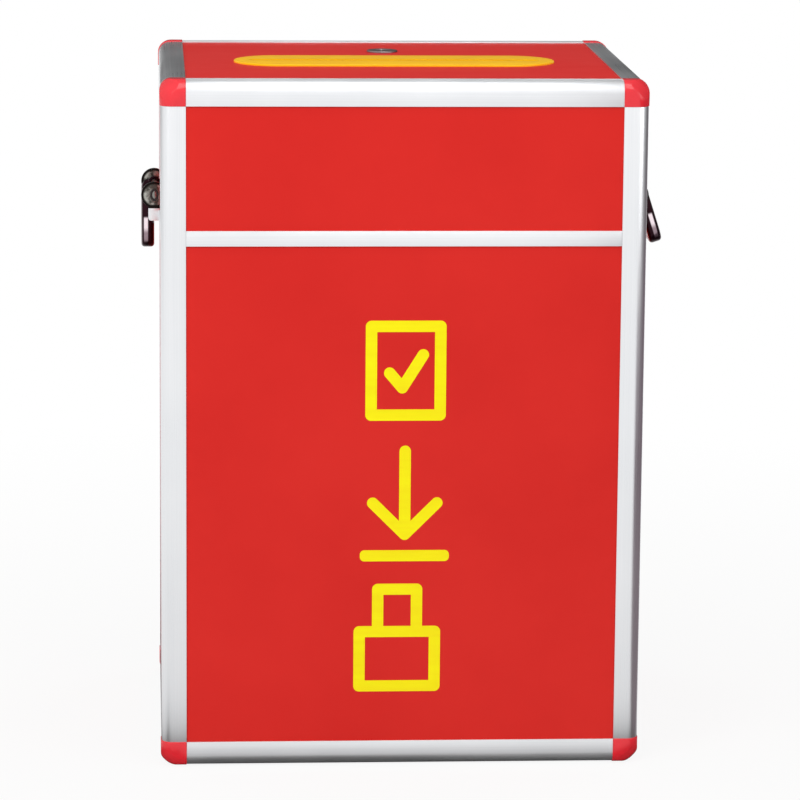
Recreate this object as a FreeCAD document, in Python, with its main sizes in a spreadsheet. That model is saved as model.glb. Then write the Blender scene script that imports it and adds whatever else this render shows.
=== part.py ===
import FreeCAD, Part
import os
import re

import Sketcher

# Ballot box: aluminium edge rails joined by plastic ball corners, thin panels held in the rails' grooves,
# a slotted top with a lockable shutter, two drop handles and a locking rear door.
# Millimetres. X is to the right, Y runs from the front to the back, Z is up.
# The origin is on the ground, under the middle of the box.

Vector = FreeCAD.Vector
X_AXIS = Vector(1, 0, 0)
Y_AXIS = Vector(0, 1, 0)
Z_AXIS = Vector(0, 0, 1)

document = FreeCAD.newDocument("ballot_box")
sheet = document.addObject("Spreadsheet::Sheet", "Sizes")

# Driving dimensions
DRIVING = [
    # how far a cutting tool runs past what it cuts, and the slide fit of clips and square holes
    ("overrun", 1),
    ("slide_clearance", 0.05),
    # the frame, measured over the rails
    ("frame_width", 420),
    ("frame_depth", 360),
    ("frame_height", 604),
    # edge rail profile
    ("rail_size", 22),
    ("rail_round", 10),
    ("rail_wall", 1.3),
    ("rail_core", 13),
    # ball corners
    ("corner_proud", 0.6),
    ("ball_margin", 0.6),
    ("leg_length", 28),
    ("leg_clearance", 0.1),
    # panels
    ("panel_thickness", 5),
    ("panel_clearance", 0.1),
    ("panel_edge_gap", 1),
    # mid rails
    ("mid_rail_drop", 136),
    ("mid_rail_height", 13.4),
    ("mid_rail_web", 3.4),
    # slot plate on the top
    ("slot_centre_y", -8),
    ("slot_plate_length", 287),
    ("slot_plate_width", 80),
    ("slot_plate_height", 1.8),
    ("slot_plate_edge", 1),
    ("slit_length", 260),
    ("slit_width", 10),
    ("slot_wall", 2),
    ("slot_collar_clearance", 0.3),
    ("snap_x", 85),
    ("snap_y", 31),
    ("snap_length", 10),
    ("snap_thickness", 2),
    ("snap_hook", 1),
    ("snap_hook_height", 1.6),
    ("snap_clearance", 0.1),
    # retainer and shutter under the top panel
    ("retainer_length", 284),
    ("retainer_depth", 70),
    ("retainer_thickness", 3),
    ("channel_wall", 2.5),
    ("channel_lip", 4),
    ("shutter_thickness", 1.5),
    ("shutter_clearance", 0.3),
    ("shutter_overlap", 4.5),
    ("shutter_retreat", 1.5),
    ("tail_margin", 2),
    # cam locks
    ("top_lock_x", -6),
    ("top_lock_y", 80),
    ("top_lock_depth", 12),
    ("lock_bezel_radius", 14),
    ("lock_bezel_height", 1.8),
    ("lock_barrel_radius", 9.4),
    ("lock_hole_clearance", 0.2),
    ("lock_plug_radius", 7),
    ("lock_running_clearance", 0.05),
    ("lock_plug_inset", 0.2),
    ("lock_clip_size", 26),
    ("lock_clip_seat", 8),
    ("lock_clip_thickness", 1.5),
    ("lock_stub", 7),
    ("key_slot_length", 8.5),
    ("key_slot_width", 1.9),
    ("key_slot_depth", 6),
    ("cam_thickness", 2),
    ("cam_width", 14),
    ("crank_radius", 13),
    ("crank_end", 4),
    ("crank_pin_radius", 1.8),
    ("crank_pin_reach", 0.6),
    ("crank_slot_clearance", 0.45),
    # rear door
    ("door_gap", 2),
    ("door_lip", 7),
    ("door_edge", 13),
    ("door_web", 3),
    ("door_panel_gap", 0.5),
    ("door_corner_round", 18),
    ("door_lock_inset", 35),
    ("door_lock_depth", 18),
    ("cam_clearance", 1.2),
    ("cam_reach", 41),
    ("cam_riser_gap", 5),
    # continuous hinge
    ("hinge_radius", 2.6),
    ("hinge_sink", 0.7),
    ("hinge_pin_radius", 1.3),
    ("hinge_leaf", 1.2),
    ("hinge_leaf_width", 12),
    ("hinge_frame_leaf_trim", 1),
    ("hinge_end_gap", 20),
    ("hinge_knuckle_gap", 0.4),
    ("hinge_running_clearance", 0.06),
    # side handles
    ("handle_length", 96),
    ("handle_base_depth", 4.6),
    ("handle_base_low", -3),
    ("handle_base_high", 7),
    ("ear_thickness", 2.5),
    ("ear_foot", 10.1),
    ("ear_radius", 11.8),
    ("pivot_out", 4.7),
    ("pivot_up", 20),
    ("pivot_pin_radius", 2.5),
    ("pivot_clearance", 0.05),
    ("pivot_seat_clearance", 0.02),
    ("pivot_pin_inset", 0.2),
    ("bail_hub_radius", 5.5),
    ("bail_arm", 7),
    ("bail_side_gap", 0.5),
    ("bail_inner", 4.9),
    ("bail_thickness", 11.6),
    ("bail_top", 3),
    ("bail_drop", 48.4),
    ("bail_grip", 11),
    ("bail_bend", 12),
    ("bail_shoulder", 8),
    ("ear_foot_bevel", 1.8),
    ("right_bail_lift", 18),
]

ALIASES = set()
for row, (alias, number) in enumerate(DRIVING, start=1):
    sheet.set("A%d" % row, alias)
    sheet.set("B%d" % row, str(number))
    sheet.setAlias("B%d" % row, alias)
    ALIASES.add(alias)
document.recompute()

# Lengths and places that follow from the driving dimensions
GROOVE = "(panel_thickness + 2*panel_clearance)"
RAIL_DEPTH = "(2*rail_wall + panel_thickness + 2*panel_clearance)"
PANEL_FACE = "(rail_wall + panel_clearance)"
PANEL_BACK = "(rail_wall + panel_clearance + panel_thickness)"
HALF_WIDTH = "(frame_width/2)"
HALF_DEPTH = "(frame_depth/2)"
GROUND = "corner_proud"
TOP = "(corner_proud + frame_height)"
MID = "(corner_proud + frame_height - mid_rail_drop)"
PANEL_X = "(frame_width/2 - rail_core - panel_edge_gap)"
PANEL_Y = "(frame_depth/2 - rail_core - panel_edge_gap)"
WEB_EDGE = "(mid_rail_web/2 + panel_edge_gap)"
TOP_FACE = "(corner_proud + frame_height - rail_wall - panel_clearance)"
TOP_UNDERSIDE = "(corner_proud + frame_height - rail_wall - panel_clearance - panel_thickness)"
CRANK_SWING = "(crank_radius*sqrt(2)/2)"
DOOR_X = "(frame_width/2 - rail_size - door_gap)"
DOOR_LOW = "(corner_proud + rail_size + door_gap)"
DOOR_HIGH = "(corner_proud + frame_height - mid_rail_drop - mid_rail_height/2 - door_gap)"
DOOR_MIDDLE = "((2*corner_proud + rail_size + frame_height - mid_rail_drop - mid_rail_height/2)/2)"
HINGE_X = "(frame_width/2 - rail_size - door_gap/2)"
HINGE_Y = "(frame_depth/2 + rail_wall + hinge_radius - hinge_sink)"


def in_sizes(text):
    """The same expression with every driving dimension named through the sheet."""
    return re.sub(r"[a-z_]+", lambda word: "Sizes." + word.group() if word.group() in ALIASES else word.group(), text)


def value(text):
    """The number that an expression of driving dimensions gives."""
    return float(sheet.evalExpression(in_sizes(str(text))))


def bind(thing, target, text):
    """Tie one property of an object to an expression of driving dimensions."""
    thing.setExpression(target, in_sizes(str(text)))


def minus(text):
    return "(-1*(%s))" % text


def plus(*texts):
    return "(" + " + ".join(str(text) for text in texts) + ")"


# Placing

def turned(x_direction, y_direction):
    """Rotation that sends the local X and Y axes to the two given directions."""
    z_direction = x_direction.cross(y_direction)
    return FreeCAD.Rotation(x_direction, y_direction, z_direction, "XYZ")


UPRIGHT = FreeCAD.Rotation()


def place(thing, rotation, x_text, y_text, z_text):
    """Turn an object and tie its position to the driving dimensions."""
    thing.Placement = FreeCAD.Placement(Vector(value(x_text), value(y_text), value(z_text)), rotation)
    bind(thing, "Placement.Base.x", x_text)
    bind(thing, "Placement.Base.y", y_text)
    bind(thing, "Placement.Base.z", z_text)


# Sub-parts that are written out, in order
NODES = []


def keep(thing, label):
    thing.Label = label
    NODES.append(thing)
    return thing


# Sketches

def new_sketch(body, name, plane_role, offset="0"):
    plane = [feature for feature in body.Origin.OriginFeatures if feature.Role == plane_role][0]
    sketch = body.newObject("Sketcher::SketchObject", name)
    sketch.AttachmentSupport = [(plane, "")]
    sketch.MapMode = "FlatFace"
    sketch.AttachmentOffset = FreeCAD.Placement(Vector(0, 0, value(offset)), FreeCAD.Rotation())
    bind(sketch, "AttachmentOffset.Base.z", offset)
    return sketch


def hold_point(sketch, edge, end, x_text, y_text):
    """Fix a sketch point at two expressions."""
    for kind, text in (("DistanceX", x_text), ("DistanceY", y_text)):
        index = sketch.addConstraint(Sketcher.Constraint(kind, -1, 1, edge, end, value(text)))
        bind(sketch, "Constraints[%d]" % index, text)


def add_polygon(sketch, corners):
    """Closed outline through corners that are pairs of expressions."""
    first = sketch.GeometryCount
    count = len(corners)
    points = [Vector(value(x_text), value(y_text), 0) for x_text, y_text in corners]
    for number in range(count):
        sketch.addGeometry(Part.LineSegment(points[number], points[(number + 1) % count]), False)
    for number in range(count):
        after = first + (number + 1) % count
        sketch.addConstraint(Sketcher.Constraint("Coincident", first + number, 2, after, 1))
    for number, (x_text, y_text) in enumerate(corners):
        hold_point(sketch, first + number, 1, x_text, y_text)


def add_rectangle(sketch, x_low, x_high, y_low, y_high):
    add_polygon(sketch, [(x_low, y_low), (x_high, y_low), (x_high, y_high), (x_low, y_high)])


def add_circle(sketch, x_text, y_text, radius_text):
    centre = Vector(value(x_text), value(y_text), 0)
    edge = sketch.addGeometry(Part.Circle(centre, Z_AXIS, value(radius_text)), False)
    hold_point(sketch, edge, 3, x_text, y_text)
    index = sketch.addConstraint(Sketcher.Constraint("Radius", edge, value(radius_text)))
    bind(sketch, "Constraints[%d]" % index, radius_text)


def add_stadium(sketch, length, width, x_text="0", y_text="0"):
    """Oblong with round ends, lying along the sketch's X axis."""
    half = "((%s)/2 - (%s)/2)" % (length, width)
    radius = "((%s)/2)" % width
    middle_x, middle_y = value(x_text), value(y_text)
    reach, round_end = value(half), value(radius)
    right = Part.Circle(Vector(middle_x + reach, middle_y, 0), Z_AXIS, round_end)
    left = Part.Circle(Vector(middle_x - reach, middle_y, 0), Z_AXIS, round_end)
    quarter = 1.5707963267948966
    right_arc = sketch.addGeometry(Part.ArcOfCircle(right, -quarter, quarter), False)
    upper = sketch.addGeometry(Part.LineSegment(Vector(middle_x + reach, middle_y + round_end, 0),
                                                Vector(middle_x - reach, middle_y + round_end, 0)), False)
    left_arc = sketch.addGeometry(Part.ArcOfCircle(left, quarter, 3 * quarter), False)
    lower = sketch.addGeometry(Part.LineSegment(Vector(middle_x - reach, middle_y - round_end, 0),
                                                Vector(middle_x + reach, middle_y - round_end, 0)), False)
    for before, after in ((right_arc, upper), (upper, left_arc), (left_arc, lower), (lower, right_arc)):
        sketch.addConstraint(Sketcher.Constraint("Tangent", before, 2, after, 1))
    hold_point(sketch, right_arc, 3, plus(x_text, half), y_text)
    hold_point(sketch, left_arc, 3, plus(x_text, minus(half)), y_text)
    index = sketch.addConstraint(Sketcher.Constraint("Radius", right_arc, round_end))
    bind(sketch, "Constraints[%d]" % index, radius)


# Features

def pad(body, sketch, length, both_ways=False, backwards=False, taper="0"):
    feature = body.newObject("PartDesign::Pad", "Pad")
    feature.Profile = sketch
    feature.SideType = "Symmetric" if both_ways else "One side"
    feature.Reversed = backwards
    bind(feature, "Length", length)
    bind(feature, "TaperAngle", taper)
    sketch.Visibility = False
    return feature


def pocket(body, sketch, length, both_ways=False, backwards=False):
    feature = body.newObject("PartDesign::Pocket", "Pocket")
    feature.Profile = sketch
    feature.SideType = "Symmetric" if both_ways else "One side"
    feature.Reversed = backwards
    bind(feature, "Length", length)
    sketch.Visibility = False
    return feature


def edges_near(shape, points, tolerance=0.05):
    """Names of the edges that pass through the given points."""
    names = []
    for point in points:
        vertex = Part.Vertex(point)
        for number, edge in enumerate(shape.Edges, start=1):
            if edge.distToShape(vertex)[0] < tolerance and "Edge%d" % number not in names:
                names.append("Edge%d" % number)
    return names


def edges_along(shape, points, direction):
    """Names of the straight edges through the given points that run along a direction."""
    names = []
    for name in edges_near(shape, points):
        edge = shape.getElement(name)
        if abs(edge.tangentAt(edge.FirstParameter).dot(direction)) > 0.99:
            names.append(name)
    return names


def round_edges(body, base, points, radius):
    """Fillet of the edges that pass through the given points."""
    document.recompute()
    feature = body.newObject("PartDesign::Fillet", "Fillet")
    feature.Base = (base, edges_near(base.Shape, points))
    bind(feature, "Radius", radius)
    return feature


def bevel_edges(body, base, points, size):
    """Chamfer of the edges that pass through the given points."""
    document.recompute()
    feature = body.newObject("PartDesign::Chamfer", "Chamfer")
    feature.Base = (base, edges_near(base.Shape, points))
    bind(feature, "Size", size)
    return feature


def new_body(label):
    return keep(document.addObject("PartDesign::Body", label), label)


def box(x_low, x_high, y_low, y_high, z_low, z_high):
    """Block between six expressions."""
    block = document.addObject("Part::Box", "Block")
    bind(block, "Length", "(%s) - (%s)" % (x_high, x_low))
    bind(block, "Width", "(%s) - (%s)" % (y_high, y_low))
    bind(block, "Height", "(%s) - (%s)" % (z_high, z_low))
    place(block, UPRIGHT, x_low, y_low, z_low)
    return block


def cylinder(radius, length, rotation, x_text, y_text, z_text):
    rod = document.addObject("Part::Cylinder", "Rod")
    bind(rod, "Radius", radius)
    bind(rod, "Height", length)
    place(rod, rotation, x_text, y_text, z_text)
    return rod


def fuse(pieces):
    joined = document.addObject("Part::MultiFuse", "Joined")
    joined.Shapes = pieces
    joined.Refine = True
    return joined


def cut(base, tools):
    removed = document.addObject("Part::Cut", "Opened")
    removed.Base = base
    removed.Tool = tools[0] if len(tools) == 1 else fuse(tools)
    removed.Refine = True
    return removed


def common(first, second):
    shared = document.addObject("Part::Common", "Shared")
    shared.Base = first
    shared.Tool = second
    shared.Refine = True
    return shared


def group(pieces, label):
    """Separate solids that share one node, such as the corners of one level."""
    together = document.addObject("Part::Compound", label)
    together.Links = pieces
    return keep(together, label)


def along(direction):
    """Rotation that sends the local Z axis along a direction."""
    return FreeCAD.Rotation(Z_AXIS, direction)


# Edge rails

def edge_rail(label, first_side, second_side, x_text, y_text, z_text, length):
    """One length of edge profile: a rounded tube with a panel groove on each of its two inner sides.

    Its hollow is bevelled in the rounded corner, where the ball corners' legs have the same bevel."""
    body = new_body(label)
    profile = new_sketch(body, "Profile", "XY_Plane")
    lip = "rail_size"
    core = "rail_core"
    wall = "rail_wall"
    inner = "(rail_wall + %s)" % GROOVE
    add_polygon(profile, [("0", "0"), (lip, "0"), (lip, wall), (core, wall), (core, inner), (lip, inner),
                          (lip, RAIL_DEPTH), (core, RAIL_DEPTH), (core, core), (RAIL_DEPTH, core),
                          (RAIL_DEPTH, lip), (inner, lip), (inner, core), (wall, core), (wall, lip), ("0", lip)])
    hollow_end = "(rail_core - rail_wall)"
    add_rectangle(profile, wall, hollow_end, wall, hollow_end)
    extrusion = pad(body, profile, length, both_ways=True)
    outside = round_edges(body, extrusion, [Vector(0, 0, 0)], "rail_round")
    hollow_corner = Vector(value(wall), value(wall), 0)
    bevel_edges(body, outside, [hollow_corner], "rail_round - rail_wall")
    place(body, turned(first_side, second_side), x_text, y_text, z_text)


POST_LENGTH = "(frame_height - 2*rail_size)"
SIDE_RAIL_LENGTH = "(frame_depth - 2*rail_size)"
FRONT_RAIL_LENGTH = "(frame_width - 2*rail_size)"
HALF_HEIGHT = "(corner_proud + frame_height/2)"

edge_rail("front_left_post", X_AXIS, Y_AXIS, minus(HALF_WIDTH), minus(HALF_DEPTH), HALF_HEIGHT, POST_LENGTH)
edge_rail("front_right_post", Y_AXIS, -X_AXIS, HALF_WIDTH, minus(HALF_DEPTH), HALF_HEIGHT, POST_LENGTH)
edge_rail("rear_right_post", -X_AXIS, -Y_AXIS, HALF_WIDTH, HALF_DEPTH, HALF_HEIGHT, POST_LENGTH)
edge_rail("rear_left_post", -Y_AXIS, X_AXIS, minus(HALF_WIDTH), HALF_DEPTH, HALF_HEIGHT, POST_LENGTH)
for level, height, inward in (("bottom", GROUND, Z_AXIS), ("top", TOP, -Z_AXIS)):
    edge_rail(level + "_front_rail", Y_AXIS, inward, "0", minus(HALF_DEPTH), height, FRONT_RAIL_LENGTH)
    edge_rail(level + "_rear_rail", -Y_AXIS, inward, "0", HALF_DEPTH, height, FRONT_RAIL_LENGTH)
    edge_rail(level + "_left_rail", X_AXIS, inward, minus(HALF_WIDTH), "0", height, SIDE_RAIL_LENGTH)
    edge_rail(level + "_right_rail", -X_AXIS, inward, HALF_WIDTH, "0", height, SIDE_RAIL_LENGTH)


# Ball corners

def bevelled_leg(block, crosswise):
    """Square leg with its outer long edge bevelled like the rail's hollow that it slides into."""
    document.recompute()
    low = value("rail_wall + leg_clearance")
    along_leg = Vector(1, 1, 1) - crosswise
    edge_middle = crosswise * low + along_leg * value("rail_size")
    size = value("rail_round - rail_wall - leg_clearance")
    leg = document.addObject("Part::Chamfer", "Leg")
    leg.Base = block
    leg.Edges = [(int(name[4:]), size, size) for name in edges_near(block.Shape, [edge_middle])]
    return leg


def ball_corner(first_side, second_side, x_text, y_text, z_text):
    """Three-way corner: a rounded core and skin that take the panels' corners, and a leg into each rail."""
    outer = minus("corner_proud")
    block = box(outer, "rail_size", outer, "rail_size", outer, "rail_size")
    document.recompute()
    start = value(outer)
    middle = value("rail_size/2")
    outer_edges = [Vector(middle, start, start), Vector(start, middle, start), Vector(start, start, middle)]
    rounded = document.addObject("Part::Fillet", "RoundedBlock")
    rounded.Base = block
    edge_radius = value("rail_round + corner_proud")
    names = edges_near(block.Shape, outer_edges)
    rounded.Edges = [(int(name[4:]), edge_radius, edge_radius) for name in names]
    ball = document.addObject("Part::Sphere", "Ball")
    bind(ball, "Radius", "sqrt(2)*(rail_size - rail_round) + rail_round + corner_proud + ball_margin")
    place(ball, UPRIGHT, "rail_size", "rail_size", "rail_size")
    beyond = "(rail_size + overrun)"
    openings = [box("rail_wall", beyond, "rail_core", beyond, "rail_core", beyond),
                box("rail_core", beyond, "rail_wall", beyond, "rail_core", beyond),
                box("rail_core", beyond, "rail_core", beyond, "rail_wall", beyond)]
    slotted = cut(common(rounded, ball), openings)
    low = "(rail_wall + leg_clearance)"
    high = "(rail_core - rail_wall - leg_clearance)"
    root = "(rail_core - rail_wall)"
    end = "(rail_size + leg_length)"
    legs = [bevelled_leg(box(low, high, low, high, root, end), Vector(1, 1, 0)),
            bevelled_leg(box(low, high, root, end, low, high), Vector(1, 0, 1)),
            bevelled_leg(box(root, end, low, high, low, high), Vector(0, 1, 1))]
    corner_piece = fuse([slotted] + legs)
    place(corner_piece, turned(first_side, second_side), x_text, y_text, z_text)
    return corner_piece


for level, height, inward in (("bottom", GROUND, Z_AXIS), ("top", TOP, -Z_AXIS)):
    corners = []
    for x_text, y_text, x_inward, y_inward in (
            (minus(HALF_WIDTH), minus(HALF_DEPTH), X_AXIS, Y_AXIS),
            (HALF_WIDTH, minus(HALF_DEPTH), -X_AXIS, Y_AXIS),
            (HALF_WIDTH, HALF_DEPTH, -X_AXIS, -Y_AXIS),
            (minus(HALF_WIDTH), HALF_DEPTH, X_AXIS, -Y_AXIS)):
        same_hand = x_inward.cross(y_inward).dot(inward) > 0
        sides = (x_inward, y_inward) if same_hand else (y_inward, x_inward)
        corners.append(ball_corner(sides[0], sides[1], x_text, y_text, height))
    group(corners, level + "_ball_corners")


# Mid rails

def mid_rail(label, inward, x_text, y_text, clear_length, tongue_length):
    """H-shaped strip between two posts: panels sit in its two grooves, its web ends in the posts' grooves."""
    body = new_body(label)
    profile = new_sketch(body, "Profile", "XY_Plane")
    tall = "(mid_rail_height/2)"
    web = "(mid_rail_web/2)"
    inner = "(rail_wall + %s)" % GROOVE
    add_polygon(profile, [("0", minus(tall)), ("rail_wall", minus(tall)), ("rail_wall", minus(web)),
                          (inner, minus(web)), (inner, minus(tall)), (RAIL_DEPTH, minus(tall)),
                          (RAIL_DEPTH, tall), (inner, tall), (inner, web), ("rail_wall", web),
                          ("rail_wall", tall), ("0", tall)])
    pad(body, profile, clear_length, both_ways=True)
    tongue = new_sketch(body, "Tongue", "XY_Plane")
    add_rectangle(tongue, PANEL_FACE, PANEL_BACK, minus(web), web)
    pad(body, tongue, tongue_length, both_ways=True)
    place(body, turned(inward, Z_AXIS), x_text, y_text, MID)


FRONT_TONGUES = "(frame_width - 2*rail_core - 2*panel_edge_gap)"
SIDE_TONGUES = "(frame_depth - 2*rail_core - 2*panel_edge_gap)"
mid_rail("front_mid_rail", Y_AXIS, "0", minus(HALF_DEPTH), FRONT_RAIL_LENGTH, FRONT_TONGUES)
mid_rail("rear_mid_rail", -Y_AXIS, "0", HALF_DEPTH, FRONT_RAIL_LENGTH, FRONT_TONGUES)
mid_rail("left_mid_rail", X_AXIS, minus(HALF_WIDTH), "0", SIDE_RAIL_LENGTH, SIDE_TONGUES)
mid_rail("right_mid_rail", -X_AXIS, HALF_WIDTH, "0", SIDE_RAIL_LENGTH, SIDE_TONGUES)


# Panels

def upright_panel(label, inward, x_text, y_text, half_length, low, high):
    """Wall panel: local X runs inward from the rails' outer face and local Y is up."""
    body = new_body(label)
    outline = new_sketch(body, "Outline", "XY_Plane")
    add_rectangle(outline, PANEL_FACE, PANEL_BACK, low, high)
    pad(body, outline, "2*" + half_length, both_ways=True)
    place(body, turned(inward, Z_AXIS), x_text, y_text, "0")
    return body


UPPER_LOW = plus(MID, WEB_EDGE)
UPPER_HIGH = "(corner_proud + frame_height - rail_core - panel_edge_gap)"
LOWER_LOW = "(corner_proud + rail_core + panel_edge_gap)"
LOWER_HIGH = plus(MID, minus(WEB_EDGE))

upright_panel("front_upper_panel", Y_AXIS, "0", minus(HALF_DEPTH), PANEL_X, UPPER_LOW, UPPER_HIGH)
upright_panel("front_lower_panel", Y_AXIS, "0", minus(HALF_DEPTH), PANEL_X, LOWER_LOW, LOWER_HIGH)
upright_panel("rear_upper_panel", -Y_AXIS, "0", HALF_DEPTH, PANEL_X, UPPER_LOW, UPPER_HIGH)
for side, inward, x_text in (("left", X_AXIS, minus(HALF_WIDTH)), ("right", -X_AXIS, HALF_WIDTH)):
    upright_panel(side + "_upper_panel", inward, x_text, "0", PANEL_Y, UPPER_LOW, UPPER_HIGH)
    upright_panel(side + "_lower_panel", inward, x_text, "0", PANEL_Y, LOWER_LOW, LOWER_HIGH)

bottom_panel = new_body("bottom_panel")
outline = new_sketch(bottom_panel, "Outline", "XY_Plane")
add_rectangle(outline, minus(PANEL_X), PANEL_X, minus(PANEL_Y), PANEL_Y)
pad(bottom_panel, outline, "panel_thickness")
place(bottom_panel, UPRIGHT, "0", "0", plus(GROUND, PANEL_FACE))

COLLAR_HALF_LENGTH = "(slit_length/2 + slot_wall)"
COLLAR_HALF_WIDTH = "(slit_width/2 + slot_wall)"
TABS = [(x_sign + "snap_x", y_sign) for x_sign in ("-1*", "1*") for y_sign in ("-1*", "1*")]


def add_collar(sketch, margin):
    """Outline of the collar round the slit, or of the hole that takes it."""
    half_length = "(%s + %s)" % (COLLAR_HALF_LENGTH, margin)
    half_width = "(%s + %s)" % (COLLAR_HALF_WIDTH, margin)
    add_rectangle(sketch, minus(half_length), half_length, "(slot_centre_y - %s)" % half_width,
                  "(slot_centre_y + %s)" % half_width)


def add_snap_holes(sketch):
    """Holes that let the slot plate's hooked tabs through."""
    for x_text, side in TABS:
        near = "(slot_centre_y + %s(snap_y - snap_thickness - snap_clearance))" % side
        far = "(slot_centre_y + %s(snap_y + snap_hook + snap_clearance))" % side
        half = "(snap_length/2 + snap_clearance)"
        add_rectangle(sketch, "(%s - %s)" % (x_text, half), "(%s + %s)" % (x_text, half), near, far)


top_panel = new_body("top_panel")
outline = new_sketch(top_panel, "Outline", "XY_Plane")
add_rectangle(outline, minus(PANEL_X), PANEL_X, minus(PANEL_Y), PANEL_Y)
add_collar(outline, "slot_collar_clearance")
add_snap_holes(outline)
add_circle(outline, "top_lock_x", "top_lock_y", "lock_barrel_radius + lock_hole_clearance")
pad(top_panel, outline, "panel_thickness")
place(top_panel, UPRIGHT, "0", "0", TOP_UNDERSIDE)


# Slot plate and retainer

slot_plate = new_body("slot_plate")
outline = new_sketch(slot_plate, "Outline", "XY_Plane")
add_stadium(outline, "slot_plate_length", "slot_plate_width", "0", "slot_centre_y")
pad(slot_plate, outline, "slot_plate_height", taper="-1*atan(slot_plate_edge/slot_plate_height)")
collar = new_sketch(slot_plate, "Collar", "XY_Plane")
add_collar(collar, "0")
pad(slot_plate, collar, "panel_thickness", backwards=True)
tabs = new_sketch(slot_plate, "Tabs", "XY_Plane")
hooks = new_sketch(slot_plate, "Hooks", "XY_Plane", minus("panel_thickness + retainer_thickness + snap_clearance"))
for x_text, side in TABS:
    left = "(%s - snap_length/2)" % x_text
    right = "(%s + snap_length/2)" % x_text
    root = "(slot_centre_y + %s(snap_y - snap_thickness))" % side
    add_rectangle(tabs, left, right, root, "(slot_centre_y + %ssnap_y)" % side)
    add_rectangle(hooks, left, right, root, "(slot_centre_y + %s(snap_y + snap_hook))" % side)
pad(slot_plate, tabs, "panel_thickness + retainer_thickness + snap_clearance", backwards=True)
pad(slot_plate, hooks, "snap_hook_height", backwards=True)
slit = new_sketch(slot_plate, "Slit", "XY_Plane", minus("panel_thickness + overrun"))
add_stadium(slit, "slit_length", "slit_width", "0", "slot_centre_y")
pocket(slot_plate, slit, "panel_thickness + slot_plate_height + 2*overrun", backwards=True)
place(slot_plate, UPRIGHT, "0", "0", TOP_FACE)

# The shutter's blade slides between the retainer and the lips of its two end channels
SLIT_REAR = "(slot_centre_y + slit_width/2)"
TRAVEL = "(2*%s)" % CRANK_SWING
BLADE_FRONT = plus(SLIT_REAR, "shutter_retreat")
BLADE_REAR = plus(SLIT_REAR, TRAVEL, "shutter_overlap")
BLADE_HALF = "(retainer_length/2 - channel_wall - shutter_clearance)"
BLADE_TOP = plus(TOP_UNDERSIDE, minus("retainer_thickness + shutter_clearance"))
CHANNEL_DEPTH = "(retainer_thickness + shutter_thickness + 2*shutter_clearance)"

retainer = new_body("slot_retainer")
outline = new_sketch(retainer, "Outline", "XY_Plane")
RETAINER_FRONT = "(slot_centre_y - retainer_depth/2)"
RETAINER_REAR = "(slot_centre_y + retainer_depth/2)"
add_rectangle(outline, "-retainer_length/2", "retainer_length/2", RETAINER_FRONT, RETAINER_REAR)
add_collar(outline, "0")
add_snap_holes(outline)
pad(retainer, outline, "retainer_thickness", backwards=True)
for sign in ("-1", "1"):
    ends = ["%s*retainer_length/2" % sign, "%s*(retainer_length/2 - channel_wall)" % sign]
    walls = new_sketch(retainer, "ChannelWall", "XY_Plane", "-retainer_thickness")
    add_rectangle(walls, ends[0], ends[1], RETAINER_FRONT, RETAINER_REAR)
    pad(retainer, walls, "shutter_thickness + 2*shutter_clearance + channel_wall", backwards=True)
    lips = new_sketch(retainer, "ChannelLip", "XY_Plane", minus(CHANNEL_DEPTH))
    lip_end = "%s*(retainer_length/2 - channel_wall - channel_lip)" % sign
    add_rectangle(lips, ends[1], lip_end, RETAINER_FRONT, RETAINER_REAR)
    pad(retainer, lips, "channel_wall", backwards=True)
place(retainer, UPRIGHT, "0", "0", TOP_UNDERSIDE)


# Cam locks

def lock_barrel(label, rotation, x_text, y_text, z_text, length):
    """Flanged barrel with the bore for the plug and, on two sides, the notches that its spring clip enters."""
    barrel = cylinder("lock_barrel_radius", length, along(-Z_AXIS), "0", "0", "0")
    flange = cylinder("lock_bezel_radius", "lock_bezel_height", UPRIGHT, "0", "0", "0")
    bore = cylinder("lock_plug_radius + lock_running_clearance", "%s + lock_bezel_height + 2*overrun" % length,
                    UPRIGHT, "0", "0", minus("%s + overrun" % length))
    tools = [bore]
    low = minus("panel_thickness + lock_clip_thickness + slide_clearance")
    for side in ("-1*", "1*"):
        across = sorted(["%slock_clip_seat" % side, "%s(lock_barrel_radius + overrun)" % side], key=value)
        tools.append(box(across[0], across[1], "-1*lock_barrel_radius", "lock_barrel_radius", low,
                         minus("panel_thickness")))
    piece = keep(cut(fuse([barrel, flange]), tools), label)
    place(piece, rotation, x_text, y_text, z_text)


def lock_plug(label, rotation, x_text, y_text, z_text, length):
    """Plug with its key slot in front and a square stub for the cam behind."""
    body = new_body(label)
    front = "(lock_bezel_height - lock_plug_inset)"
    disc = new_sketch(body, "Disc", "XY_Plane", front)
    add_circle(disc, "0", "0", "lock_plug_radius")
    pad(body, disc, plus(length, front), backwards=True)
    stub = new_sketch(body, "Stub", "XY_Plane", minus(length))
    half = "(lock_stub/2)"
    add_rectangle(stub, minus(half), half, minus(half), half)
    pad(body, stub, "cam_thickness", backwards=True)
    key = new_sketch(body, "KeySlot", "XY_Plane", front)
    add_rectangle(key, "-key_slot_width/2", "key_slot_width/2", "-key_slot_length/2", "key_slot_length/2")
    pocket(body, key, "key_slot_depth")
    place(body, rotation, x_text, y_text, z_text)


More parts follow.
